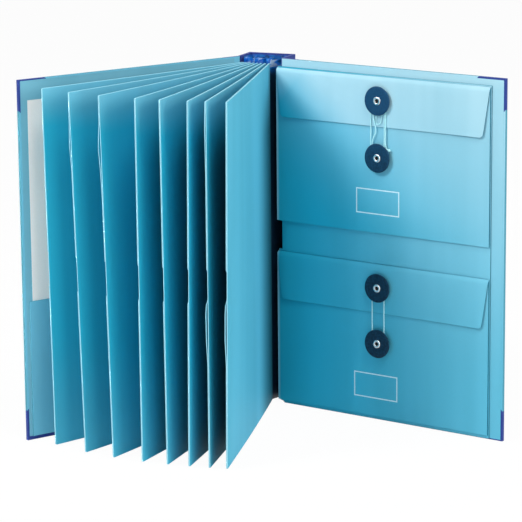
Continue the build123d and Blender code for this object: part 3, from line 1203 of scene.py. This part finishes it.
@dataclass(frozen=True)
class Leaf:
    """One pocket leaf of two glued sheets, a little twisted and bowed as card hangs, in millimetres."""

    number: int
    twist: float
    bow: float
    gapes: Tuple[Triple, ...] = ()
    shaded: Optional[Pair] = None
    faces_cover: bool = False
    thickness: float = 0.75
    corner: float = 1.2
    thumb: float = 17.0
    thumb_out: float = 8.0

    LEFT_LEAVES = 4
    LEFT_FOLD = ("left_cover_hinge", 0.2)
    RIGHT_FOLD = ("right_cover_hinge", 0.5)
    FACING_PAINTED_LIGHT = 0.11
    SHADED_DEPTH = 0.6
    COLUMNS = 14
    RIM = 0.0015
    ROWS = 14
    CORNER_ROWS = (0.25, 0.6, 1.0)
    CUT_ROWS = 6
    CUT_ROOM = 2.0
    FORE_BAND = 4.0
    TWIST_POWER = 1.5
    RIPPLE = 0.25
    RIPPLE_RATE = 2.3
    GAPE_POWER = 6

    def build(self, palette: Palette) -> List[Piece]:
        """Makes both sheets in the place of the CAD leaf.

        Args:
            palette: The finishes.

        Returns:
            The sheets.
        """
        body = f"leaf_{self.number}"
        root = pivot(f"{body}_turn")
        low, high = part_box(f"{body}_front")
        run = self.direction(root)
        face = Vector((-run.y, run.x, 0.0))
        wide, tall = self.reach(root, run), (high.z - low.z) / MM
        sheets = []
        for sheet, card in zip(Sheet, self.cards(palette, root, run)):

            def place(across: float, up: float, depth: float) -> Vector:
                """Places a point of the sheet.

                Args:
                    across: Share of the way from the hinge to the fore edge.
                    up: Share of the height.
                    depth: Share of the thickness.

                Returns:
                    The point in metres.
                """
                distance = self.fore_edge(wide, tall * up, tall, sheet) * across
                offset = self.offset(distance / wide, 2 * up - 1)
                if sheet is Sheet.BACK:
                    offset -= self.gape(distance / wide, low.z / MM + tall * up)
                offset += (sheet.value + depth) * self.thickness
                rise = low.z + tall * up * MM - root.z
                return root + (run * distance + face * offset) * MM + UP * rise

            maker = MeshMaker()
            maker.sheet(stops(self.COLUMNS, self.RIM), self.rows(tall), place)
            node = f"{body}_{sheet.name.lower()}"
            made = settle(maker.make(f"{node}_card", card), node, body)
            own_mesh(made)
            sheets.append(made)
        return sheets

    def cards(self, palette: Palette, root: Vector, run: Vector) -> Tuple[Material, Material]:
        """Picks the card of each sheet.

        Args:
            palette: The finishes.
            root: The leaf's hinge.
            run: Its direction.

        Returns:
            The front sheet's card and the back sheet's.
        """
        if self.shaded is None:
            return palette.leaf, palette.leaf
        # The leaf that faces the cover has painted light, and painted shade towards its hinge on both
        # sheets; other shaded leaves have painted shade on the front sheet only.
        if self.faces_cover:
            looks = {"root_shade": self.shaded, "bloom": self.FACING_PAINTED_LIGHT}
            card = palette.leaf_card("front_leaf_card", root, run, **looks)
            return card, card
        looks = {"root_shade": self.shaded, "root_depth": self.SHADED_DEPTH, **palette.LEAF_PAINTED_LIGHT}
        return palette.leaf_card(f"inner_leaf_card_{self.number}", root, run, **looks), palette.leaf

    def direction(self, root: Vector) -> Vector:
        """Finds which way the CAD leaf points.

        Args:
            root: Its hinge.

        Returns:
            The level unit direction from the hinge to the fore edge.
        """
        middle = Vector()
        for sheet in Sheet:
            node = frame["nodes"][f"leaf_{self.number}_{sheet.name.lower()}"]
            corners = [vertex.co - root for vertex in node.data.vertices]
            near = max(corner.to_2d().length for corner in corners) - self.FORE_BAND * MM
            outer = [corner for corner in corners if corner.to_2d().length > near]
            middle += sum(outer, Vector()) / len(outer)
        return Vector((middle.x, middle.y, 0.0)).normalized()

    def reach(self, root: Vector, run: Vector) -> float:
        """Measures the CAD leaf from its hinge to its fore edge.

        Args:
            root: Its hinge.
            run: Its direction.

        Returns:
            The width in millimetres.
        """
        corners = frame["nodes"][f"leaf_{self.number}_front"].data.vertices
        return max((vertex.co - root).dot(run) for vertex in corners) / MM

    def rows(self, tall: float) -> List[float]:
        """Gives the lines up the leaf, closer at its corners and at the thumb cut.

        Args:
            tall: The leaf's height.

        Returns:
            The places of the lines from 0 to 1.
        """
        middle = tall / 2
        half = math.sqrt(self.thumb ** 2 - self.thumb_out ** 2)
        close = [self.corner * share for share in self.CORNER_ROWS]
        steps = range(-self.CUT_ROWS, self.CUT_ROWS + 1)
        cut = [middle + half * math.sin(math.pi / 2 * step / self.CUT_ROWS) for step in steps]
        even = [tall * step / self.ROWS for step in range(1, self.ROWS)]
        clear = [level for level in even if abs(level - middle) > half + self.CUT_ROOM]
        levels = [0.0, *close, *clear, *cut, *(tall - level for level in close), tall]
        return sorted(level / tall for level in levels)

    def fore_edge(self, wide: float, height: float, tall: float, sheet: Sheet) -> float:
        """Gives where a sheet ends at a height.

        Args:
            wide: The leaf's width.
            height: Height above the leaf's foot.
            tall: The leaf's height.
            sheet: The sheet; the back one has the thumb cut.

        Returns:
            Distance from the hinge.
        """
        edge = wide - rounded(self.corner, min(height, tall - height))
        away = abs(height - tall / 2)
        if sheet is Sheet.BACK and away < self.thumb:
            edge -= max(0.0, math.sqrt(self.thumb ** 2 - away ** 2) - self.thumb_out)
        return edge

    def offset(self, out: float, up: float) -> float:
        """Gives how far the card stands off its flat.

        Args:
            out: Share of the way from hinge to fore edge.
            up: Height from -1 at the foot to 1 at the head.

        Returns:
            Distance towards the front sheet.
        """
        twisted = -self.twist * up * out ** self.TWIST_POWER
        bowed = self.bow * math.sin(math.pi * out)
        rippled = self.RIPPLE * math.sin(self.RIPPLE_RATE * up + self.number) * 4 * out * (1 - out)
        return twisted + bowed + rippled

    def gape(self, out: float, height: float) -> float:
        """Gives how far the back sheet hangs open at its fore edge.

        Args:
            out: Share of the way from hinge to fore edge.
            height: Height above the floor.

        Returns:
            Distance away from the front sheet.
        """
        total = 0.0
        for middle, half, amount in self.gapes:
            total += amount * max(0.0, 1 - ((height - middle) / half) ** 2) ** 2
        return total * out ** self.GAPE_POWER


@dataclass(frozen=True)
class Eyelet:
    """A rolled eyelet, by radius and by distance in from the cover's outer face, in millimetres."""

    lip_middle: Pair = (2.78, 9.5)
    lip_half: Pair = (0.97, 0.62)
    lip_turns: Tuple[float, ...] = (0.0, 0.5, 1.0, 1.6, 2.1, 2.6, 3.1)
    seat: Triple = (3.7, 9.46, 0.0)
    # The bore's profile closes in a floor, which holds the painted shade of the hole.
    bore: Tuple[Triple, ...] = (
        (1.8, 9.2, 0.3),
        (1.8, 8.8, 1.0),
        (0.05, 8.2, 1.0),
        (0.05, 8.0, 1.0),
        (2.1, 8.0, 1.0),
        (2.1, 9.44, 0.0),
    )

    def profile(self) -> List[Triple]:
        """Rolls the lip and joins it to the seat and the bore.

        Returns:
            The outline that is turned, with 1 painted in the bore and its closing floor, where the metal
            finish paints shade.
        """
        (radius, level), (wide, tall) = self.lip_middle, self.lip_half
        lip = []
        for turn in self.lip_turns:
            lip.append((radius + wide * math.cos(turn), level + tall * math.sin(turn), 0.0))
        return [self.seat, *lip, *self.bore]


@dataclass(frozen=True)
class Envelope:
    """One string-tied envelope on the right cover, in millimetres."""

    name: str
    fold: float
    flap_foot: float
    flap_button: float
    body_button: float
    label: LabelFrame
    # Whether the flap takes the card with stronger painted light; the three fields below set the painted
    # light on the front, a pale tint where the lamps light it more.
    flap_painted_light: bool
    bloom_ends: Pair
    bloom_lean: float = 0.0
    bloom: float = 0.37
    column: float = 106.0
    fold_ends: Pair = (-4.5, 219.4)
    foot_ends: Pair = (0.5, 213.0)
    corner: float = 4.0
    levels: Pair = (5.6, 6.2)
    fold_depth: float = 1.2
    fold_roll: float = 2.2
    curl: float = 3.63
    curl_from: float = 0.45
    bow: float = 0.25
    bow_from: float = 0.25
    disc: Tuple[Triple, ...] = (
        (2.3, 8.25, 0.0),
        (12.5, 8.2, 0.0),
        (12.85, 8.35, 0.6),
        (13.0, 8.65, 1.0),
        (13.0, 8.95, 1.0),
        (12.85, 9.25, 0.6),
        (12.5, 9.4, 0.1),
        (11.5, 9.42, 0.0),
        (5.2, 9.42, 0.0),
        (4.2, 9.3, 0.0),
        (2.3, 9.25, 0.0),
    )
    eyelet: Eyelet = Eyelet()

    COLUMNS = 26
    RIM = 0.002
    FOLD_ROWS = (0.0, 0.004, 0.015, 0.035, 0.06)
    FACE_ROWS = (0.1, 0.18, 0.26, 0.34, 0.42, 0.5, 0.58, 0.66, 0.74, 0.82)
    FOOT_ROWS = (0.94, 0.96, 0.975, 0.99, 1.0)
    DISC_SIDES = 72
    EYELET_SIDES = 48

    def build(self, plane: CoverPlane, palette: Palette) -> List[Piece]:
        """Makes the flap, buttons and eyelets, and dresses the rest.

        Args:
            plane: The right cover's plane.
            palette: The finishes.

        Returns:
            The envelope's pieces.
        """
        front = palette.card(
            f"{self.name}_envelope_card",
            plane,
            bloom=self.bloom,
            bloom_ends=self.bloom_ends,
            bloom_lean=self.bloom_lean,
            label=self.label,
            edge=palette.SHADED,
            fold_line=palette.FOLD_HIGHLIGHT,
        )
        pieces = dress(front, f"{self.name}_envelope_front")
        plain = ("envelope_edges", "flap_spacer", "body_spacer")
        pieces += dress(palette.right_card, *(f"{self.name}_{part}" for part in plain))
        pieces.append(self.flap(plane, palette))
        for half, height in ((Half.FLAP, self.flap_button), (Half.BODY, self.body_button)):
            pieces += self.button(plane, palette, half, height)
        return pieces

    def flap(self, plane: CoverPlane, palette: Palette) -> Piece:
        """Makes the flap, which rolls over the fold and lifts a little at its corners.

        Args:
            plane: The right cover's plane.
            palette: The finishes.

        Returns:
            The flap.
        """
        tall = self.fold - self.flap_foot

        def place(across: float, up: float, depth: float) -> Vector:
            """Places a point of the flap.

            Args:
                across: Share of the way along the flap.
                up: Share of the way from its foot to the fold.
                depth: Share of the thickness.

            Returns:
                The point in metres.
            """
            share = 1 - up
            inset = rounded(self.corner, tall * up)
            low, high = (part_way(ends, share) for ends in zip(self.fold_ends, self.foot_ends))
            along = part_way((low + inset, high - inset), across)
            side = abs(2 * across - 1)
            lift = self.curl * max(0.0, side - self.curl_from) ** 2 * share ** 2
            bow = self.bow * math.sin(math.pi * share) * max(0.0, side - self.bow_from)
            rolled = self.fold_depth * math.exp(-((tall * share / self.fold_roll) ** 2))
            level = part_way(self.levels, depth) + lift + bow - rolled
            return plane.point(along, self.fold - tall * share, level)

        maker = MeshMaker()
        rows = sorted(1 - row for row in self.FOLD_ROWS + self.FACE_ROWS + self.FOOT_ROWS)
        maker.sheet(stops(self.COLUMNS, self.RIM), rows, place)
        # Both cards carry painted light; the flap card has more of it, and more towards the fold at the
        # head.
        card = palette.flap if self.flap_painted_light else palette.right_card
        body = f"{self.name}_flap"
        return settle(maker.make(f"{self.name}_flap_card", card), body, body)

    def button(self, plane: CoverPlane, palette: Palette, half: Half, height: float) -> List[Piece]:
        """Makes a pressed disc with a rounded rim, and the eyelet in its seat.

        Args:
            plane: The right cover's plane.
            palette: The finishes.
            half: The half that it sits on.
            height: Its height.

        Returns:
            The disc and the eyelet.
        """
        stem = f"{self.name}_{half.value}"
        centre = plane.point(self.column, height, 0.0)
        disc, eyelet = MeshMaker(), MeshMaker()
        disc.spin(self.disc, centre, plane.inward, self.DISC_SIDES)
        eyelet.spin(self.eyelet.profile(), centre, plane.inward, self.EYELET_SIDES)
        pressed = disc.make(f"{stem}_disc", palette.disc)
        rolled = eyelet.make(f"{stem}_eyelet_roll", palette.metal)
        carrier = stem if half is Half.FLAP else "right_cover"
        return [
            settle(pressed, f"{stem}_button", f"{stem}_button"),
            settle(rolled, f"{stem}_eyelet", carrier),
        ]


@dataclass(frozen=True)
class Backing:
    """The sheet behind both envelopes, cut back at the hinge between them, in millimetres."""

    ends: Pair = (-4.0, 220.0)
    heights: Pair = (0.6, 313.0)
    levels: Pair = (3.1, 3.9)
    gap: Pair = (144.6, 170.8)
    set_back: float = 3.6
    corner_rise: float = 2.0

    COLUMNS = 24
    ROWS = 12
    RIMS = (0.002, 0.001)
    CUT_ROWS = (0.3, -0.01)

    def build(self, plane: CoverPlane, palette: Palette) -> List[Piece]:
        """Makes the sheet, with its foot corner at the hinge cut on the slant.

        Args:
            plane: The right cover's plane.
            palette: The finishes.

        Returns:
            The sheet.
        """
        foot, head = self.heights
        corner_run = (self.ends[1] - self.ends[0]) / self.COLUMNS

        def place(across: float, up: float, depth: float) -> Vector:
            """Places a point of the sheet.

            Args:
                across: Share of the way from the hinge side.
                up: Share of the height.
                depth: Share of the thickness.

            Returns:
                The point in metres.
            """
            height = part_way(self.heights, up)
            low = self.ends[0] + (self.set_back if self.gap[0] <= height <= self.gap[1] else 0.0)
            along = part_way((low, self.ends[1]), across)
            slant = max(0.0, 1 - (along - self.ends[0]) / corner_run)
            rise = self.corner_rise * slant * (1 - up)
            return plane.point(along, height + rise, part_way(self.levels, depth))

        across_rim, up_rim = self.RIMS
        levels = [part_way(self.heights, share) for share in stops(self.ROWS, up_rim)]
        for room in self.CUT_ROWS:
            levels += [self.gap[0] - room, self.gap[1] + room]
        rows = sorted((level - foot) / (head - foot) for level in levels)
        maker = MeshMaker()
        maker.sheet(stops(self.COLUMNS, across_rim), rows, place)
        made = maker.make("envelope_backing_card", palette.right_card)
        return [settle(made, "envelope_backing", "right_cover")]


@dataclass(frozen=True)
class Cover:
    """One hard cover and the cloth that bends where it joins the spine, in millimetres."""

    side: Side
    cloth_reach: float = 9.0
    cloth_proud: float = 0.35
    cloth_thickness: float = 0.32
    bridge: float = 4.0
    ends: Pair = (0.4, 319.6)

    COLUMNS = 22
    ROWS = 12
    RIMS = (0.012, 0.001)

    def build(self, plane: CoverPlane, palette: Palette) -> List[Piece]:
        """Dresses the cover's CAD nodes and makes its bending cloth.

        Args:
            plane: The cover's plane.
            palette: The finishes.

        Returns:
            The cover's pieces.
        """
        name = self.side.name.lower()
        paper, lining, cloth = palette.left_paper, palette.left_lining, palette.left_cloth
        if self.side is Side.RIGHT:
            paper, lining, cloth = palette.right_paper, palette.right_lining, palette.right_cloth
        pieces = dress(palette.board, f"{name}_board")
        pieces += dress(paper, f"{name}_cover_paper")
        pieces += dress(lining, f"{name}_lining")
        pieces += dress(cloth, f"{name}_hinge_cloth", f"{name}_top_corner", f"{name}_bottom_corner")
        if self.side is Side.LEFT:
            pieces += dress(palette.left_card, "left_pocket_front", "left_pocket_edges")
            pieces += dress(palette.sheet, "insert_sheet")
        return [*pieces, self.crease(plane, palette, f"{name}_cover")]

    def crease(self, plane: CoverPlane, palette: Palette, body: str) -> Piece:
        """Makes the cloth that bends between the spine's side and the cover.

        Args:
            plane: The cover's plane.
            palette: The finishes.
            body: The cover's body.

        Returns:
            The cloth.
        """
        wall = Vector((self.side.value, 0.0, 0.0))
        rise = Vector((0.0, 1.0, 0.0))
        corner = plane.hinge + (wall - plane.inward) * self.cloth_proud * MM

        def place(across: float, up: float, depth: float) -> Vector:
            """Places a point of the cloth.

            Args:
                across: Share of the way from the spine's side to the cover.
                up: Share of the height.
                depth: Share of the thickness, from the inner face out.

            Returns:
                The point in metres.
            """
            way = part_way((-self.cloth_reach, self.cloth_reach), across)
            share = min(1.0, max(0.0, (way + self.bridge) / (2 * self.bridge)))
            if abs(way) < self.bridge:
                bent = (rise * (1 - share) ** 2 + plane.run * share ** 2) * self.bridge
            else:
                bent = plane.run * way if way > 0 else rise * -way
            sunk = (wall * (1 - share) - plane.inward * share) * (1 - depth) * self.cloth_thickness
            point = corner + (bent - sunk) * MM
            return Vector((point.x, point.y, corner.z + part_way(self.ends, up) * MM))

        across_rim, up_rim = self.RIMS
        maker = MeshMaker()
        maker.sheet(stops(self.COLUMNS, across_rim), stops(self.ROWS, up_rim), place)
        made = maker.make(f"{body}_crease", palette.spine_cloth)
        plane.point(self.bridge, 0.0, 0.0)
        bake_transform(made)
        return made


@dataclass(frozen=True)
class Sway:
    """An amount that varies along the gusset: its middle, and height, rate and phase of its waves."""

    middle: float
    waves: Tuple[Triple, ...]

    def at(self, mark: float) -> float:
        """Returns the amount at a place counted in pleat faces."""
        swings = (height * math.sin(rate * mark + phase) for height, rate, phase in self.waves)
        return self.middle + sum(swings)


@dataclass(frozen=True)
class Spine:
    """The deep cloth spine and its pleated gusset, in millimetres."""

    setback: float = 1.25
    depth: float = 16.0
    row: float = 3.0
    end_front: float = 9.0
    end_back: float = 21.0
    thickness: float = 0.4
    loose: float = 15.0
    drop: Sway = Sway(1.1, ((0.6, 1.9, 0.0), (0.4, 0.7, 1.0)))
    lean: Sway = Sway(0.0, ((0.7, 1.1, 0.6),))
    back: Sway = Sway(1.4, ((1.2, math.pi, -math.pi / 2), (0.5, 2.3, 0.0)))

    FACE_COLUMNS = 4
    ROWS = (0.0, 0.002, 0.1, 0.2, 0.3, 0.4, 0.5, 0.6, 0.7, 0.8, 0.9)
    HEAD_ROWS = (0.93, 0.95, 0.965, 0.978, 0.988, 1.0)
    DROP_POWER = 40
    SHARP = 30.0

    def build(self, palette: Palette) -> List[Piece]:
        """Dresses the spine's CAD nodes and makes its pleats.

        Args:
            palette: The finishes.

        Returns:
            The spine's pieces.
        """
        boards = ("spine_board", "left_side_board", "right_side_board")
        pieces = dress(palette.spine_cloth, *boards, "spine_cloth")
        pieces += dress(palette.lining, "spine_lining")
        low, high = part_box("accordion_gusset")
        folds = self.folds(high.x - self.thickness / 2 * MM)
        faces = len(folds) - 1
        tall = (high.z - low.z) / MM

        def place(across: float, up: float, depth: float) -> Vector:
            """Places a point of the gusset.

            Args:
                across: Share of the way along its folds.
                up: Share of the height.
                depth: Share of the thickness.

            Returns:
                The point in metres.
            """
            mark = across * faces
            step = min(int(mark), faces - 1)
            here, there = folds[step], folds[step + 1]
            way = there - here
            skin = Vector((-way.y, way.x, 0.0)).normalized() * (depth - 0.5) * self.thickness
            height = tall * up - self.drop.at(mark) * up ** self.DROP_POWER
            free = max(0.0, 1 - (tall - height) / self.loose) ** 2 * math.sin(math.pi * across)
            moved = Vector((self.lean.at(mark) * free, self.back.at(mark) * free, height)) + skin
            return here.lerp(there, mark - step) + moved * MM + UP * low.z

        count = self.FACE_COLUMNS * faces
        columns = [index / count for index in range(count + 1)]
        maker = MeshMaker()
        maker.sheet(columns, self.ROWS + self.HEAD_ROWS, place)
        made = maker.make("gusset_pleats", palette.gusset, sharp=self.SHARP)
        return [*pieces, settle(made, "accordion_gusset", "spine")]

    def folds(self, wall: float) -> List[Vector]:
        """Finds where the gusset folds, from one side of the spine to the other.

        Args:
            wall: Distance of its glued ends from the middle, in metres.

        Returns:
            The folds in plan, a ridge behind each leaf and a valley between.
        """
        start = pivot("left_cover_hinge").y
        roots = [pivot(f"leaf_{leaf.number}_turn") for leaf in LEAVES]
        ridges = [Vector((-wall, start + self.end_front * MM, 0.0))]
        ridges += [Vector((root.x, root.y + self.setback * MM, 0.0)) for root in roots]
        ridges += [Vector((wall, start + self.end_front * MM, 0.0))]
        valley = start + (self.setback + self.depth - self.row) * MM
        found = [Vector((-wall, start + self.end_back * MM, 0.0)), ridges[0]]
        for ridge, after in zip(ridges, ridges[1:]):
            found += [Vector(((ridge.x + after.x) / 2, valley, 0.0)), after]
        return [*found, Vector((wall, start + self.end_back * MM, 0.0))]


@dataclass(frozen=True)
class Lamp:
    """A square soft light, in metres, watts and degrees."""

    name: str
    place: Triple
    size: float
    power: float
    target: Triple = (0.03, -0.13, 0.16)
    spread: float = 180.0

    def build(self) -> None:
        """Hangs the lamp and points it at its target."""
        light = bpy.data.lights.new(self.name, "AREA")
        light.energy = self.power
        light.size = self.size
        light.spread = math.radians(self.spread)
        made = bpy.data.objects.new(self.name, light)
        made.location = self.place
        made.rotation_euler = (Vector(self.target) - Vector(self.place)).to_track_quat("-Z", "Y").to_euler()
        bpy.context.scene.collection.objects.link(made)


@dataclass(frozen=True)
class Studio:
    """Camera, floor, world and lamps, in metres and degrees."""

    eye: Triple = (0.9260, -2.26935, 0.6587)
    turn: float = 22.469
    pitch: float = 12.259
    roll: float = -0.516
    lens: float = 186.6
    sensor: float = 36.0
    ambient: float = 0.25
    floor_reach: float = 9.0
    floor_drop: float = 0.0002
    floor_white: float = 0.96
    floor_rough: Pair = (0.85, 0.95)
    floor_mottle: Grain = Grain(1.5)
    lamps: Tuple[Lamp, ...] = (
        Lamp("key", (-1.1, -1.6, 1.9), 0.8, 42.0),
        Lamp("side", (2.5, -0.6, 1.0), 1.2, 27.0),
        Lamp("top", (0.75, -0.8, 2.2), 0.6, 17.0),
        Lamp("grid", (-0.5, -2.4, 0.6), 0.3, 0.16, (-0.17, -0.2, 0.17), 8.0),
    )

    def build(self) -> None:
        """Makes the whole studio."""
        bpy.context.scene.view_settings.view_transform = "Standard"
        self.camera()
        self.floor()
        self.world()
        for lamp in self.lamps:
            lamp.build()
        LOG.info("studio: camera, floor, world and %d lamps", len(self.lamps))

    def camera(self) -> None:
        """Makes the camera and makes it the scene's."""
        turn, pitch, roll = (math.radians(angle) for angle in (self.turn, self.pitch, self.roll))
        level = Vector((math.cos(turn), math.sin(turn), 0.0))
        ahead = Vector((-math.sin(turn), math.cos(turn), 0.0))
        look = ahead * math.cos(pitch) - UP * math.sin(pitch)
        above = level.cross(look)
        right = level * math.cos(roll) + above * math.sin(roll)
        top = above * math.cos(roll) - level * math.sin(roll)
        data = bpy.data.cameras.new("photo_camera")
        data.lens = self.lens
        data.sensor_width = self.sensor
        made = bpy.data.objects.new("photo_camera", data)
        made.matrix_world = Matrix.Translation(self.eye) @ Matrix((right, top, -look)).transposed().to_4x4()
        bpy.context.scene.collection.objects.link(made)
        bpy.context.scene.camera = made

    def seen(self, graph: Graph) -> Socket:
        """Tells rays that show the background from those that light the object.

        Args:
            graph: The graph that asks.

        Returns:
            1 for camera, glossy and transmission rays.
        """
        kinds = ("Is Camera Ray", "Is Glossy Ray", "Is Transmission Ray")
        camera, glossy, clear = (graph.node("ShaderNodeLightPath", output=kind) for kind in kinds)
        return (camera + glossy + clear).smaller(1.0)

    def floor(self) -> None:
        """Makes a plain pale floor that keeps a faint shadow."""
        maker = MeshMaker()
        signs = ((-1, -1), (1, -1), (1, 1), (-1, 1))
        corners = [Vector((x * self.floor_reach, y * self.floor_reach, -self.floor_drop)) for x, y in signs]
        maker.faces.append(tuple(maker.add(corner) for corner in corners))
        graph = Surface("floor_white", Specular_IOR_Level=0.1)
        mottle = graph.noise(self.floor_mottle)
        tone = graph.mix(mottle, tint(246, 246, 246), tint(250, 250, 250))
        graph.finish(tone, mottle.between(self.floor_rough))
        glow = graph.node("ShaderNodeEmission", None, {"Color": WHITE, "Strength": 1.0})
        principled = Socket(graph, graph.shader.outputs[0])
        inputs = {0: self.seen(graph) * self.floor_white, 1: principled, 2: glow}
        mixed = graph.node("ShaderNodeMixShader", None, inputs)
        graph.feed(graph.tree.nodes["Material Output"].inputs["Surface"], mixed)
        maker.make("floor", graph.material)

    def world(self) -> None:
        """Makes an even white world, brighter to the eye than as a light."""
        world = bpy.data.worlds.new("white_world")
        bpy.context.scene.world = world
        world.use_nodes = True
        graph = Graph(world.node_tree)
        background = graph.tree.nodes["Background"]
        graph.feed(background.inputs["Color"], WHITE)
        graph.feed(background.inputs["Strength"], self.seen(graph).between((self.ambient, 1.0)))


LEAVES = (
    Leaf(1, 3.4, 0.6),
    Leaf(2, 5.2, 0.8, ((272.0, 26.0, 1.3),)),
    Leaf(3, 3.8, 0.6, ((268.0, 30.0, 2.0),)),
    Leaf(4, 0.4, 0.4, shaded=(170.0, 215.0)),
    Leaf(5, 0.9, 0.0, shaded=(165.0, 222.0)),
    Leaf(6, -1.6, 0.3, shaded=(170.0, 240.0)),
    Leaf(7, -0.3, 0.5, ((126.0, 32.0, 1.5), (283.0, 20.0, 0.8)), (205.0, 262.0)),
    Leaf(8, -1.6, 0.8, ((124.0, 32.0, 1.4),), (4.0, 80.0), faces_cover=True),
)
ENVELOPES = (
    Envelope(
        "upper",
        fold=312.0,
        flap_foot=267.5,
        flap_button=291.0,
        body_button=240.0,
        label=LabelFrame((82.0, 189.0), (126.5, 210.7)),
        flap_painted_light=True,
        bloom_ends=(188.0, 413.0),
        bloom_lean=0.9,
    ),
    Envelope(
        "lower",
        fold=143.5,
        flap_foot=99.0,
        flap_button=122.5,
        body_button=71.5,
        label=LabelFrame((79.6, 20.0), (124.9, 42.0)),
        flap_painted_light=False,
        bloom_ends=Palette.FRONT_ENDS,
    ),
)
STRINGS = (
    WoundString(
        "upper_string",
        "upper_flap",
        "object",
        (
            (107.5, 233.5), (103.0, 233.4), (99.5, 234.4), (99.5, 240.0), (99.7, 256.0), (104.4, 263.5),
            (101.6, 274.0), (99.5, 291.0), (99.5, 297.6), (112.6, 297.6), (112.6, 291.0), (112.4, 238.0),
        ),
        bend=(257.0, 282.0),
        replaces=("upper_string",),
    ),
    WoundString(
        "upper_turn",
        "upper_flap",
        "knot",
        (
            (105.0, 231.8), (98.1, 232.2), (98.1, 240.0), (98.4, 265.0), (98.1, 291.0), (98.1, 299.0),
            (113.9, 299.0), (113.9, 291.0), (113.7, 256.0), (113.9, 250.6), (115.6, 248.2), (118.9, 247.4),
        ),
        bend=(257.0, 282.0),
        knot=2.3,
    ),
    WoundString(
        "upper_loop",
        "upper_flap",
        "object",
        (
            (109.0, 286.8), (105.4, 285.8), (104.6, 281.0), (103.9, 275.5), (104.1, 269.8), (108.6, 270.6),
            (109.8, 277.0), (110.6, 283.0), (110.9, 287.5),
        ),
        diameter=1.0,
    ),
    WoundString(
        "lower_string",
        "lower_flap",
        "object",
        (
            (112.3, 71.5), (112.3, 65.2), (99.7, 65.2), (99.7, 71.5), (99.7, 122.5),
            (99.7, 128.8), (112.3, 128.8), (112.3, 122.5), (112.3, 75.5),
        ),
        bend=(88.5, 113.5),
        replaces=("lower_string",),
    ),
)


def report(pieces: Sequence[Piece]) -> None:
    """Logs each piece with its number of faces."""
    for piece in pieces:
        LOG.info("%s: %d faces", piece.name, len(piece.data.polygons))


def main() -> None:
    """Builds the studio, then every piece."""
    logging.basicConfig(level=logging.INFO, format="%(name)s: %(message)s")
    Studio().build()
    right, left = CoverPlane.of(Side.RIGHT), CoverPlane.of(Side.LEFT)
    palette = Palette(right, left)
    for wound in STRINGS:
        report(wound.build(right, palette))
    for leaf in LEAVES:
        report(leaf.build(palette))
    for envelope in ENVELOPES:
        report(envelope.build(right, palette))
    report(Backing().build(right, palette))
    report(Cover(Side.RIGHT).build(right, palette))
    report(Cover(Side.LEFT).build(left, palette))
    report(Spine().build(palette))
    LOG.info("sizes written")


if __name__ == "__main__":
    main()
